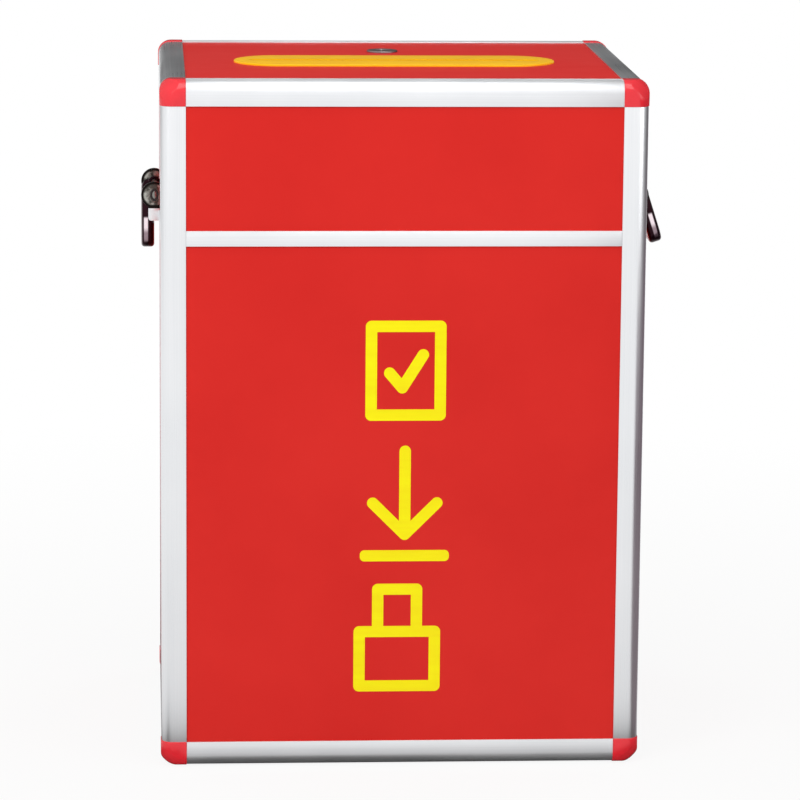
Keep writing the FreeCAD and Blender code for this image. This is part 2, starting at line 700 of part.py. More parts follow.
def lock_clip(label, rotation, x_text, y_text, z_text):
    """Flat spring clip, open at one end, that slides into the barrel's notches behind the panel."""
    high = minus("panel_thickness")
    low = minus("panel_thickness + lock_clip_thickness")
    plate = box("-lock_clip_size/2", "lock_clip_size/2", "-lock_clip_size/2", "lock_clip_size/2", low, high)
    inner = "(lock_clip_seat + slide_clearance)"
    back = "(lock_barrel_radius + slide_clearance)"
    mouth = box(minus(inner), inner, minus(back), "lock_clip_size/2 + overrun", plus(low, "-overrun"),
                plus(high, "overrun"))
    clip = keep(cut(plate, [mouth]), label)
    place(clip, rotation, x_text, y_text, z_text)


TOP_LOCK = ("top_lock_x", "top_lock_y", TOP_FACE)
lock_barrel("top_lock_barrel", UPRIGHT, *TOP_LOCK, "top_lock_depth")
lock_plug("top_lock_plug", UPRIGHT, *TOP_LOCK, "top_lock_depth")
lock_clip("top_lock_clip", UPRIGHT, *TOP_LOCK)

# The crank's pin starts behind and to the left of the lock's axis and swings a quarter turn
TAIL_TOP = plus(minus("top_lock_depth + cam_thickness + shutter_clearance"))
crank = new_body("top_lock_crank")
arm = new_sketch(crank, "Arm", "XY_Plane", minus("top_lock_depth"))
add_rectangle(arm, "-crank_radius - crank_end", "cam_width/2", "-cam_width/2", "cam_width/2")
half_square = "(lock_stub/2 + slide_clearance)"
to_vertex = "(sqrt(2)*%s)" % half_square
add_polygon(arm, [(minus(to_vertex), "0"), ("0", minus(to_vertex)), (to_vertex, "0"), ("0", to_vertex)])
pad(crank, arm, "cam_thickness", backwards=True)
pin = new_sketch(crank, "Pin", "XY_Plane", minus("top_lock_depth + cam_thickness"))
add_circle(pin, "-crank_radius", "0", "crank_pin_radius")
pad(crank, pin, "2*shutter_clearance + shutter_thickness + crank_pin_reach", backwards=True)
CRANK_START = -45
place(crank, FreeCAD.Rotation(Z_AXIS, CRANK_START), *TOP_LOCK)

# Shutter: blade under the slit, a step down, and a tail with a cross slot for the crank's pin
shutter = new_body("slot_shutter")
blade = new_sketch(shutter, "Blade", "XY_Plane")
add_rectangle(blade, minus(BLADE_HALF), BLADE_HALF, BLADE_FRONT, BLADE_REAR)
pad(shutter, blade, "shutter_thickness", backwards=True)
PIN_ROOM = "(crank_pin_radius + crank_slot_clearance)"
TAIL_LEFT = "(top_lock_x - crank_radius - %s - tail_margin)" % PIN_ROOM
TAIL_RIGHT = "(top_lock_x - %s + %s + tail_margin)" % (CRANK_SWING, PIN_ROOM)
PIN_REST_Y = plus("top_lock_y", CRANK_SWING)
TAIL_END = plus(PIN_REST_Y, PIN_ROOM, "tail_margin")
TAIL_LEVEL = "(%s - %s)" % (plus(TOP_FACE, TAIL_TOP), BLADE_TOP)
step_wall = new_sketch(shutter, "Step", "XY_Plane")
add_rectangle(step_wall, TAIL_LEFT, TAIL_RIGHT, BLADE_REAR, plus(BLADE_REAR, "shutter_thickness"))
pad(shutter, step_wall, "shutter_thickness - (%s)" % TAIL_LEVEL, backwards=True)
tail = new_sketch(shutter, "Tail", "XY_Plane", TAIL_LEVEL)
add_rectangle(tail, TAIL_LEFT, TAIL_RIGHT, BLADE_REAR, TAIL_END)
pad(shutter, tail, "shutter_thickness", backwards=True)
cross = new_sketch(shutter, "CrossSlot", "XY_Plane", TAIL_LEVEL)
SLOT_RUN = "(crank_radius - %s + 2*%s)" % (CRANK_SWING, PIN_ROOM)
SLOT_MIDDLE = "(top_lock_x - (crank_radius + %s)/2)" % CRANK_SWING
add_stadium(cross, SLOT_RUN, "2*" + PIN_ROOM, SLOT_MIDDLE, PIN_REST_Y)
pocket(shutter, cross, "shutter_thickness")
place(shutter, UPRIGHT, "0", "0", BLADE_TOP)


# Rear door

OUTER_FACE = plus(HALF_DEPTH, "rail_wall")
INNER_FLANGE = plus(HALF_DEPTH, "rail_wall", minus(RAIL_DEPTH))
HINGE_SIDE = plus(HINGE_X, minus("hinge_radius + hinge_knuckle_gap"))
SKIN_X = minus(plus(DOOR_X, "door_lip"))
SKIN_LOW = plus(DOOR_LOW, "-door_lip")
SKIN_HIGH = plus(DOOR_HIGH, "door_lip")
skin_block = box(SKIN_X, HINGE_SIDE, HALF_DEPTH, OUTER_FACE, SKIN_LOW, SKIN_HIGH)
document.recompute()
skin = document.addObject("Part::Fillet", "Skin")
skin.Base = skin_block
skin_corners = [Vector(value(SKIN_X), value(HALF_DEPTH), value(level)) for level in (SKIN_LOW, SKIN_HIGH)]
skin_round = value("door_corner_round")
skin.Edges = [(int(name[4:]), skin_round, skin_round) for name in edges_along(skin_block.Shape, skin_corners, Y_AXIS)]
channel = box(minus(DOOR_X), DOOR_X, INNER_FLANGE, HALF_DEPTH, DOOR_LOW, DOOR_HIGH)
window_x = plus(DOOR_X, "-door_edge")
window = box(minus(window_x), window_x, plus(INNER_FLANGE, "-overrun"), plus(OUTER_FACE, "overrun"),
             plus(DOOR_LOW, "door_edge"), plus(DOOR_HIGH, "-door_edge"))
groove_x = plus(DOOR_X, "-door_web")
groove = box(minus(groove_x), groove_x, plus(INNER_FLANGE, "rail_wall"), HALF_DEPTH,
             plus(DOOR_LOW, "door_web"), plus(DOOR_HIGH, "-door_web"))
keep(cut(fuse([skin, channel]), [window, groove]), "door_frame")

door_panel = new_body("door_panel")
outline = new_sketch(door_panel, "Outline", "XZ_Plane")
DOOR_PANEL_X = plus(groove_x, "-door_panel_gap")
DOOR_LOCK_X = minus(plus(DOOR_X, "-door_lock_inset"))
add_rectangle(outline, minus(DOOR_PANEL_X), DOOR_PANEL_X, plus(DOOR_LOW, "door_web + door_panel_gap"),
              plus(DOOR_HIGH, "-door_web - door_panel_gap"))
add_circle(outline, DOOR_LOCK_X, DOOR_MIDDLE, "lock_barrel_radius + lock_hole_clearance")
pad(door_panel, outline, "panel_thickness")
DOOR_FACE = plus(HALF_DEPTH, "-panel_clearance")
place(door_panel, UPRIGHT, "0", DOOR_FACE, "0")

DOOR_LOCK = (DOOR_LOCK_X, DOOR_FACE, DOOR_MIDDLE)
FACING_BACK = turned(-X_AXIS, Z_AXIS)
lock_barrel("door_lock_barrel", FACING_BACK, *DOOR_LOCK, "door_lock_depth")
lock_plug("door_lock_plug", FACING_BACK, *DOOR_LOCK, "door_lock_depth")
lock_clip("door_lock_clip", FACING_BACK, *DOOR_LOCK)

# The cam hangs down when unlocked; a quarter turn brings its raised tip behind the post's inner flange
cam = new_body("door_lock_cam")
CAM_LEVEL = minus("door_lock_depth")
TIP_LEVEL = "(panel_clearance - %s - cam_clearance)" % RAIL_DEPTH
RISER = "(lock_clip_size/2 + cam_riser_gap)"
hub = new_sketch(cam, "Hub", "XY_Plane", CAM_LEVEL)
add_rectangle(hub, "-cam_width/2", "cam_width/2", minus(RISER), "cam_width/2")
add_rectangle(hub, minus(half_square), half_square, minus(half_square), half_square)
pad(cam, hub, "cam_thickness", backwards=True)
riser = new_sketch(cam, "Riser", "XY_Plane", "%s - cam_thickness" % CAM_LEVEL)
add_rectangle(riser, "-cam_width/2", "cam_width/2", minus(RISER), plus(minus(RISER), "cam_thickness"))
pad(cam, riser, "%s - (%s) + cam_thickness" % (TIP_LEVEL, CAM_LEVEL))
tip = new_sketch(cam, "Tip", "XY_Plane", TIP_LEVEL)
add_rectangle(tip, "-cam_width/2", "cam_width/2", "-cam_reach", plus(minus(RISER), "cam_thickness"))
pad(cam, tip, "cam_thickness", backwards=True)
place(cam, FACING_BACK, *DOOR_LOCK)


# Continuous hinge

KNUCKLES = 5
HINGE_LOW = plus(DOOR_LOW, "hinge_end_gap")
HINGE_HIGH = plus(DOOR_HIGH, "-hinge_end_gap")
HINGE_LENGTH = "(%s - %s)" % (HINGE_HIGH, HINGE_LOW)
KNUCKLE_PITCH = "(%s/%d)" % (HINGE_LENGTH, KNUCKLES)
FRAME_LEAF_BACK = plus(HALF_DEPTH, "hinge_leaf")
DOOR_LEAF_BACK = plus(OUTER_FACE, "hinge_leaf")
CLEAR_OF_KNUCKLES = "(hinge_radius + hinge_knuckle_gap)"


def hinge_leaf(label, first_knuckle, near_x, far_x, face, back):
    """Leaf with every second knuckle, bored for the pin."""
    pieces = [box(*sorted([near_x, far_x], key=value), face, back, HINGE_LOW, HINGE_HIGH)]
    for number in range(first_knuckle, KNUCKLES, 2):
        low = "(%s + %d*%s + hinge_knuckle_gap/2)" % (HINGE_LOW, number, KNUCKLE_PITCH)
        length = "(%s - hinge_knuckle_gap)" % KNUCKLE_PITCH
        pieces.append(cylinder("hinge_radius", length, UPRIGHT, HINGE_X, HINGE_Y, low))
        pieces.append(box(*sorted([HINGE_X, near_x], key=value), face, back, low, plus(low, length)))
    bore = cylinder("hinge_pin_radius + hinge_running_clearance", "%s + 2*overrun" % HINGE_LENGTH, UPRIGHT,
                    HINGE_X, HINGE_Y, plus(HINGE_LOW, "-overrun"))
    keep(cut(fuse(pieces), [bore]), label)


FRAME_NEAR = plus(HINGE_X, CLEAR_OF_KNUCKLES)
FRAME_FAR = plus(HINGE_X, "hinge_leaf_width - hinge_frame_leaf_trim")
DOOR_NEAR = plus(HINGE_X, minus(CLEAR_OF_KNUCKLES))
DOOR_FAR = plus(HINGE_X, "-hinge_leaf_width")

hinge_leaf("hinge_frame_leaf", 0, FRAME_NEAR, FRAME_FAR, HALF_DEPTH, FRAME_LEAF_BACK)
hinge_leaf("hinge_door_leaf", 1, DOOR_NEAR, DOOR_FAR, OUTER_FACE, DOOR_LEAF_BACK)
keep(cylinder("hinge_pin_radius", HINGE_LENGTH, UPRIGHT, HINGE_X, HINGE_Y, HINGE_LOW), "hinge_pin")


# Side handles: local X points out of the box, the origin is on the side mid rail's outer face

EAR_TOP = "(pivot_up + ear_radius)"
BAIL_HALF = "(handle_length/2 - ear_thickness - bail_side_gap)"


def handle_bracket(rotation, x_text):
    """Base bar on the mid rail with a rounded ear at each end."""
    body = document.addObject("PartDesign::Body", "Bracket")
    foot = new_sketch(body, "Foot", "XZ_Plane")
    add_rectangle(foot, "0", "ear_foot", "handle_base_low", "pivot_up")
    pad(body, foot, "handle_length", both_ways=True)
    ear = new_sketch(body, "Ear", "XZ_Plane")
    add_circle(ear, "pivot_out", "pivot_up", "ear_radius")
    pad(body, ear, "handle_length", both_ways=True)
    behind = new_sketch(body, "Behind", "XZ_Plane")
    below = "(handle_base_low - overrun)"
    above = plus(EAR_TOP, "overrun")
    add_rectangle(behind, "-2*ear_radius", "0", below, above)
    pocket(body, behind, "handle_length + 2*overrun", both_ways=True)
    between = new_sketch(body, "Between", "XZ_Plane")
    out = plus("pivot_out", "ear_radius", "overrun")
    add_polygon(between, [("handle_base_depth", below), (out, below), (out, above), ("-1*overrun", above),
                          ("-1*overrun", "handle_base_high"), ("handle_base_depth", "handle_base_high")])
    pocket(body, between, "handle_length - 2*ear_thickness", both_ways=True)
    holes = new_sketch(body, "PivotHoles", "XZ_Plane")
    add_circle(holes, "pivot_out", "pivot_up", "pivot_pin_radius + pivot_seat_clearance")
    drilled = pocket(body, holes, "handle_length + 2*overrun", both_ways=True)
    low = value("handle_base_low")
    foot_out = value("ear_foot")
    half = value("handle_length/2 - ear_thickness/2")
    bevel_edges(body, drilled, [Vector(foot_out, -half, low), Vector(foot_out, half, low)], "ear_foot_bevel")
    place(body, rotation, x_text, "0", MID)
    return body


def bail(label, rotation, x_text, lift):
    """Drop handle: two arms with hubs on the pivot pins, joined by the grip."""
    body = new_body(label)
    outline = new_sketch(body, "Outline", "YZ_Plane", plus("bail_inner", "-pivot_out"))
    inner_half = plus(BAIL_HALF, "-bail_arm")
    bottom = minus("bail_drop")
    grip = plus(bottom, "bail_grip")
    add_polygon(outline, [(minus(BAIL_HALF), bottom), (BAIL_HALF, bottom), (BAIL_HALF, "bail_top"),
                          (inner_half, "bail_top"), (inner_half, grip), (minus(inner_half), grip),
                          (minus(inner_half), "bail_top"), (minus(BAIL_HALF), "bail_top")])
    arch = pad(body, outline, "bail_thickness")
    middle = value("bail_inner - pivot_out + bail_thickness/2")
    outside = [Vector(middle, side * value(BAIL_HALF), value(bottom)) for side in (-1, 1)]
    inside = [Vector(middle, side * value(inner_half), value(grip)) for side in (-1, 1)]
    bends = round_edges(body, arch, outside, "bail_bend")
    bends = round_edges(body, bends, inside, "bail_bend - bail_arm")
    far = value("bail_inner - pivot_out + bail_thickness")
    shoulders = [Vector(far, side * value(BAIL_HALF + " - bail_arm/2"), value("bail_top")) for side in (-1, 1)]
    round_edges(body, bends, shoulders, "bail_shoulder")
    for start in (inner_half, minus(BAIL_HALF)):
        hub = new_sketch(body, "Hub", "XZ_Plane", start)
        add_circle(hub, "0", "0", "bail_hub_radius")
        pad(body, hub, "bail_arm")
    bore = new_sketch(body, "Bore", "XZ_Plane")
    add_circle(bore, "0", "0", "pivot_pin_radius + pivot_clearance")
    pocket(body, bore, "handle_length + 2*overrun", both_ways=True)
    out_direction = rotation.multVec(X_AXIS)
    lifted = FreeCAD.Rotation(out_direction.cross(Z_AXIS), value(lift))
    side = 1 if out_direction.x > 0 else -1
    place(body, lifted.multiply(rotation), plus(x_text, "%d*pivot_out" % side), "0", plus(MID, "pivot_up"))


def pivot_pins(x_text, side):
    """Two stub pins, each through an ear and the bail's hub behind it."""
    pins = []
    out = plus(x_text, "%d*pivot_out" % side)
    length = "(ear_thickness - pivot_pin_inset + bail_side_gap + bail_arm)"
    for end, direction in (("-1*", Y_AXIS), ("1*", -Y_AXIS)):
        start = "%s(handle_length/2 - pivot_pin_inset)" % end
        pins.append(cylinder("pivot_pin_radius", length, along(direction), out, start, plus(MID, "pivot_up")))
    return pins


TURNED_BACK = turned(-X_AXIS, -Y_AXIS)
group([handle_bracket(TURNED_BACK, minus(HALF_WIDTH)), handle_bracket(UPRIGHT, HALF_WIDTH)], "handle_brackets")
bail("left_handle_bail", TURNED_BACK, minus(HALF_WIDTH), "0")
bail("right_handle_bail", UPRIGHT, HALF_WIDTH, "right_bail_lift")
group(pivot_pins(minus(HALF_WIDTH), -1) + pivot_pins(HALF_WIDTH, 1), "handle_pivot_pins")


# Check and write

document.recompute()
for thing in document.Objects:
    if "Invalid" in thing.State or "Error" in thing.State:
        raise RuntimeError("%s (%s) failed: %s" % (thing.Name, thing.Label, thing.State))

os.makedirs("parts", exist_ok=True)
for node in NODES:
    shape = node.Shape
    if shape.isNull() or not shape.isValid():
        raise RuntimeError("%s has no valid shape" % node.Label)
    shape.exportStep(os.path.join("parts", node.Label + ".step"))
print("nodes written:", len(NODES))
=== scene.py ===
"""Looks of the ballot box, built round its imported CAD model.

The box is a frame of rounded aluminium edge rails joined by moulded ball corners, with thin board panels
in the rails' grooves, a slot plate and a lock on the top, a drop handle on each side and a hinged rear door.
New pieces are modelled in millimetres, in the place where the CAD has them, and are brought to metres when
they are finished. X is to the right, Y runs from the front to the rear, Z is up.
"""
from __future__ import annotations

import logging
import math
from collections.abc import Callable, Iterator
from contextlib import contextmanager
from dataclasses import dataclass
from enum import Enum
from typing import Any, ClassVar

import bmesh
import bpy
from mathutils import Matrix, Vector


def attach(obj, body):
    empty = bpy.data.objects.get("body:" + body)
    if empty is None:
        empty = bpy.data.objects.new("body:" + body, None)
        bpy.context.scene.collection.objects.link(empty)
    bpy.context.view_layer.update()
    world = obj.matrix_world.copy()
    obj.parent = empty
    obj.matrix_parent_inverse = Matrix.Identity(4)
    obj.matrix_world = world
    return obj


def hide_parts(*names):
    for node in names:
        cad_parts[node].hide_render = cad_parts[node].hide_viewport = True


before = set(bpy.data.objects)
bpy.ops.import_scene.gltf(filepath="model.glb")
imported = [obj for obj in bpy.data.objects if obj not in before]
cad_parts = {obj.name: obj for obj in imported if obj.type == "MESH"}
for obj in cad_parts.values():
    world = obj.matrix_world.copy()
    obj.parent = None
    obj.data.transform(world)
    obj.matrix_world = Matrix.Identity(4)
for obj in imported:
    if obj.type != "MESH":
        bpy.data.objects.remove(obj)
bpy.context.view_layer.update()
LOG = logging.getLogger("ballot_box")
MILLIMETRE = 0.001
# Within TOUCH or SKIM millimetres a point counts as lying on a face, and with a coordinate past ALONG a unit
# vector counts as running along that axis.
TOUCH, SKIM, ALONG = 0.1, 0.01, 0.9
Piece = bpy.types.Object
Tree = bpy.types.NodeTree
Socket = bpy.types.NodeSocket
Point = tuple[float, float, float]
Place = tuple[float, float]
Sides = tuple[float, float, float, float]
Stops = tuple[tuple[float, str], ...]
Test = Callable[[Vector, Vector], bool]


class Element(Enum):
    """What an edit-mode selection is made of."""

    POINT = "VERT"
    EDGE = "EDGE"
    FACE = "FACE"


class Combine(Enum):
    """What one solid does to another."""

    CUT = "DIFFERENCE"
    WELD = "UNION"
    TRIM = "INTERSECT"


class Axis(Enum):
    """A direction of the box, as the index of its coordinate."""

    X = 0
    Y = 1
    Z = 2

    def unit(self) -> Vector:
        """Unit vector along the axis."""
        return Vector([1.0 if index == self.value else 0.0 for index in range(3)])


# Modelling by hand, in code


def deselect_all() -> None:
    """Leave edit mode and select nothing."""
    if bpy.context.object is not None and bpy.context.object.mode != "OBJECT":
        bpy.ops.object.mode_set(mode="OBJECT")
    bpy.ops.object.select_all(action="DESELECT")


def activate(piece: Piece) -> None:
    """Select one object alone and make it the active one.

    Args:
        piece: Object that the next operator acts on.
    """
    deselect_all()
    piece.select_set(True)
    bpy.context.view_layer.objects.active = piece


@contextmanager
def editing(piece: Piece) -> Iterator[None]:
    """Edit mode on one object for the length of a with block.

    Args:
        piece: Mesh object to edit.

    Returns:
        The context, which yields nothing.
    """
    activate(piece)
    bpy.ops.object.mode_set(mode="EDIT")
    yield
    bpy.ops.object.mode_set(mode="OBJECT")


def pick(piece: Piece, kind: Element, wanted: Test) -> None:
    """Select, in edit mode, the elements that a test accepts.

    Args:
        piece: Object in edit mode.
        kind: Points, edges or faces.
        wanted: Test of an element's middle and of its normal, or for an edge its direction.
    """
    bpy.ops.mesh.select_mode(type=kind.value)
    bpy.ops.mesh.select_all(action="DESELECT")
    mesh = bmesh.from_edit_mesh(piece.data)
    mesh.normal_update()
    if kind is Element.POINT:
        found = [(point, point.co, point.normal) for point in mesh.verts]
    elif kind is Element.EDGE:
        found = [(edge, (edge.verts[0].co + edge.verts[1].co) / 2,
                  (edge.verts[1].co - edge.verts[0].co).normalized()) for edge in mesh.edges]
    else:
        found = [(face, face.calc_center_median(), face.normal) for face in mesh.faces]
    for element, middle, way in found:
        if wanted(middle, way):
            element.select_set(True)
    mesh.select_flush_mode()
    bmesh.update_edit_mesh(piece.data)


def new_block(low: Point, high: Point) -> Piece:
    """Box between two corners.

    Args:
        low: Lowest corner.
        high: Highest corner.

    Returns:
        The new mesh object, with its place in its mesh.
    """
    deselect_all()
    size = [top - bottom for bottom, top in zip(low, high)]
    middle = [(top + bottom) / 2 for bottom, top in zip(low, high)]
    bpy.ops.mesh.primitive_cube_add(size=1, location=middle, scale=size)
    bpy.ops.object.transform_apply(location=True, rotation=True, scale=True)
    return bpy.context.object


def new_rod(radius: float, low: float, high: float, centre: Place, axis: Axis = Axis.Z,
            sides: int = 64) -> Piece:
    """Round bar between two levels along an axis.

    Args:
        radius: Radius of the bar.
        low: Level of its first end along the axis.
        high: Level of its second end.
        centre: The other two coordinates of its axis, in the order x, y, z.
        axis: Direction of the bar.
        sides: Number of facets round it.

    Returns:
        The new mesh object.
    """
    deselect_all()
    middle = list(centre)
    middle.insert(axis.value, (low + high) / 2)
    turn = {Axis.X: (0.0, math.pi / 2, 0.0), Axis.Y: (math.pi / 2, 0.0, 0.0), Axis.Z: (0.0, 0.0, 0.0)}[axis]
    bpy.ops.mesh.primitive_cylinder_add(vertices=sides, radius=radius, depth=high - low, location=middle,
                                        rotation=turn)
    bpy.ops.object.transform_apply(location=True, rotation=True, scale=True)
    return bpy.context.object


def copy_of(piece: Piece, shift: Point = (0.0, 0.0, 0.0)) -> Piece:
    """Copy of a piece with a mesh of its own.

    Args:
        piece: Object to copy.
        shift: How far the copy's mesh is moved.

    Returns:
        The copy.
    """
    twin = piece.copy()
    twin.data = piece.data.copy()
    bpy.context.scene.collection.objects.link(twin)
    twin.data.transform(Matrix.Translation(shift))
    return twin


def drop(*pieces: Piece) -> None:
    """Remove pieces that were only patterns or tools."""
    for piece in pieces:
        bpy.data.objects.remove(piece, do_unlink=True)


def apply_modifier(piece: Piece, kind: str, **settings: Any) -> None:
    """Add a modifier and apply it at once.

    Args:
        piece: Object to change.
        kind: Blender's name of the modifier type.
        settings: Its properties and their values.
    """
    modifier = piece.modifiers.new(kind.title(), kind)
    for name, value in settings.items():
        setattr(modifier, name, value)
    activate(piece)
    bpy.ops.object.modifier_apply(modifier=modifier.name)


def combine(piece: Piece, how: Combine, *others: Piece) -> None:
    """Combine other solids with a piece, one after the other, and remove them.

    Args:
        piece: Solid that stays.
        how: What the others do to it.
        others: The other solids.
    """
    for other in others:
        apply_modifier(piece, "BOOLEAN", operation=how.value, solver="EXACT", object=other)
        drop(other)


def cut(piece: Piece, *tools: Piece) -> None:
    """Cut tools out of a piece."""
    combine(piece, Combine.CUT, *tools)


def weld(piece: Piece, *others: Piece) -> None:
    """Fuse other solids into a piece."""
    combine(piece, Combine.WELD, *others)


def gather(pieces: list[Piece]) -> Piece:
    """Join separate solids into one object.

    Args:
        pieces: Objects to join, of which the first stays.

    Returns:
        The first piece, which now holds them all.
    """
    deselect_all()
    for piece in pieces:
        piece.select_set(True)
    bpy.context.view_layer.objects.active = pieces[0]
    bpy.ops.object.join()
    return bpy.context.object


def round_edges(piece: Piece, size: float, steps: int, wanted: Test) -> None:
    """Round the edges that a test accepts.

    Args:
        piece: Object to change.
        size: Distance from the edge at which the rounding starts, the radius at a right angle.
        steps: Number of facets across the rounding.
        wanted: Test of an edge's middle and direction.
    """
    with editing(piece):
        pick(piece, Element.EDGE, wanted)
        bpy.ops.mesh.bevel(offset=size, segments=steps, profile=0.5, affect="EDGES")


def soften(piece: Piece, width: float, steps: int = 2, angle: float = 38.0) -> None:
    """Break all sharp edges of a piece, as tumbling, moulding or handling does.

    Args:
        piece: Object to change.
        width: Width of the broken edge.
        steps: Number of facets across it.
        angle: Edges between faces that meet at more than this many degrees are broken.
    """
    apply_modifier(piece, "BEVEL", width=width, segments=steps, limit_method="ANGLE",
                   angle_limit=math.radians(angle), miter_outer="MITER_ARC", harden_normals=False)


def along(first: Vector, second: Vector, origin: Point) -> Matrix:
    """Matrix from a piece's own frame to the box's.

    Args:
        first: Where the piece's own X axis points.
        second: Where its own Y axis points.
        origin: Where its own origin lies.

    Returns:
        The 4x4 matrix.
    """
    turn = Matrix((first, second, first.cross(second))).transposed().to_4x4()
    return Matrix.Translation(origin) @ turn


X, Y, Z = Axis.X.unit(), Axis.Y.unit(), Axis.Z.unit()
AT_REST = Matrix.Identity(4)
FACING_REAR = (-X, Z)
TURNED_BACK = (-X, -Y)


# Finishes


def linear(code: str) -> tuple[float, float, float, float]:
    """Linear colour of an sRGB hex value.

    Args:
        code: Six hex digits.

    Returns:
        Red, green, blue and alpha.
    """
    parts = [int(code[start:start + 2], 16) / 255 for start in (0, 2, 4)]
    shades = [part / 12.92 if part <= 0.04045 else ((part + 0.055) / 1.055) ** 2.4 for part in parts]
    return (shades[0], shades[1], shades[2], 1.0)


def add_node(tree: Tree, kind: str, settings: dict[str, Any] | None = None,
             links: dict[str, Socket] | None = None) -> bpy.types.Node:
    """Add one node with its settings and links.

    Args:
        tree: Node tree of the material or world.
        kind: Blender's name of the node type, without ShaderNode.
        settings: Properties of the node, or values of its inputs where an input has that name or number. A
            ramp's stops are pairs of place and sRGB hex colour.
        links: Sockets that feed its inputs, by input name or number.

    Returns:
        The new node.
    """
    node = tree.nodes.new("ShaderNode" + kind)
    for name, value in (settings or {}).items():
        if name == "stops":
            elements = node.color_ramp.elements
            while len(elements) < len(value):
                elements.new(0.5)
            for element, (place, code) in zip(elements, value):
                element.position, element.color = place, linear(code)
        elif name.isdigit():
            node.inputs[int(name)].default_value = value
        elif name in node.inputs:
            node.inputs[name].default_value = value
        else:
            setattr(node, name, value)
    for name, socket in (links or {}).items():
        tree.links.new(socket, node.inputs[int(name) if name.isdigit() else name])
    return node


def blank_material(name: str) -> tuple[bpy.types.Material, Tree]:
    """New material with an empty node tree.

    Args:
        name: Name of the material.

    Returns:
        The material and its tree.
    """
    material = bpy.data.materials.new(name)
    material.use_nodes = True
    material.node_tree.nodes.clear()
    return material, material.node_tree


def per_metre(size: float) -> float:
    """Scale of a pattern whose features are so many millimetres wide."""
    return 1 / (size * MILLIMETRE)


@dataclass(frozen=True)
class Shading:
    """Two sRGB hex colours and two roughnesses, and the values of a pattern at which each is reached."""

    colours: tuple[str, str]
    roughness: Place
    colours_at: Place = (0.3, 0.7)
    roughness_at: Place = (0.3, 0.7)


class Finish:
    """A surface finish, whose material is made once and then shared."""

    made: ClassVar[dict["Finish", bpy.types.Material]] = {}
    family: ClassVar[str]
    slot: ClassVar[str]
    name: str

    def material(self) -> bpy.types.Material:
        """Blender material of this finish.

        Returns:
            The material, made at its first use.
        """
        if self not in Finish.made:
            Finish.made[self], tree = blank_material(self.family + self.name)
            self.lay(tree, add_node(tree, "TexCoord").outputs["Object"])
        return Finish.made[self]

    def lay(self, tree: Tree, place: Socket) -> None:
        """Build the node tree; each finish has its own."""
        raise NotImplementedError

    def painted_light(self, tree: Tree, colour: Socket) -> Socket:
        """Base colour with the painted highlights, reflections and shade that a finish lays on it: here the
        same all over.
        """
        return colour

    def cover(self, tree: Tree, pattern: Socket, shading: Shading,
              settings: dict[str, float], links: dict[str, Socket]) -> None:
        """Add the shader, with its colour and roughness from one pattern.

        Args:
            tree: Node tree of the material.
            pattern: The pattern's value, from 0 to 1.
            shading: What its low and high values stand for.
            settings: The shader's uniform values.
            links: Sockets for the shader's other inputs.
        """
        ramp = add_node(tree, "ValToRGB", {"stops": tuple(zip(shading.colours_at, shading.colours))},
                        {"Fac": pattern})
        start, end = shading.roughness_at
        first, last = shading.roughness
        rough = add_node(tree, "MapRange",
                         {"From Min": start, "From Max": end, "To Min": first, "To Max": last},
                         {"Value": pattern})
        shader = add_node(tree, "BsdfPrincipled", settings,
                          {"Base Color": self.painted_light(tree, ramp.outputs["Color"]),
                           "Roughness": rough.outputs["Result"], **links})
        add_node(tree, "OutputMaterial", None, {"Surface": shader.outputs[0]})


@dataclass(frozen=True)
class AnodisedAluminium(Finish):
    """Silver anodised aluminium extrusion, etched satin: faint die lines run along its length, and the oxide
    skin spreads reflections, so the flats look almost white and the roundings shade off softly."""

    direction: Axis
    light: str = "F8F9FB"
    dark: str = "ECEEF1"
    # Real die lines lie about a tenth of a millimetre apart, too fine to show, so they are drawn coarser.
    die_line: float = 0.7
    die_length: float = 260.0
    cloud: float = 71.43
    roughness: float = 0.3
    stretch: float = 0.0
    family: ClassVar[str] = "anodised_aluminium_"
    slot: ClassVar[str] = "rails"

    @property
    def name(self) -> str:
        """The extrusion's direction, for the material's name."""
        return self.direction.name.lower()

    def lay(self, tree: Tree, place: Socket) -> None:
        """Satin metal with die lines along the extrusion.

        Args:
            tree: Node tree of the material.
            place: Object coordinates.
        """
        scale = [per_metre(self.die_line)] * 3
        scale[self.direction.value] = per_metre(self.die_length)
        stretched = add_node(tree, "Mapping", {"Scale": scale}, {"Vector": place})
        lines = add_node(tree, "TexNoise", {"Scale": 1.0, "Detail": 3.0, "Roughness": 0.6},
                         {"Vector": stretched.outputs[0]})
        clouds = add_node(tree, "TexNoise", {"Scale": per_metre(self.cloud), "Detail": 2.0},
                          {"Vector": place})
        mixed = add_node(tree, "Mix", {"data_type": "FLOAT", "0": 0.35},
                         {"2": lines.outputs["Fac"], "3": clouds.outputs["Fac"]})
        relief = add_node(tree, "Bump", {"Strength": 0.08, "Distance": 0.04 * MILLIMETRE},
                          {"Height": lines.outputs["Fac"]})
        across = add_node(tree, "Tangent", {"direction_type": "RADIAL", "axis": self.direction.name})
        self.cover(tree, mixed.outputs[0],
                   Shading((self.dark, self.light), (self.roughness - 0.05, self.roughness + 0.06)),
                   {"Metallic": 1.0, "Anisotropic": self.stretch},
                   {"Normal": relief.outputs["Normal"], "Tangent": across.outputs[0]})


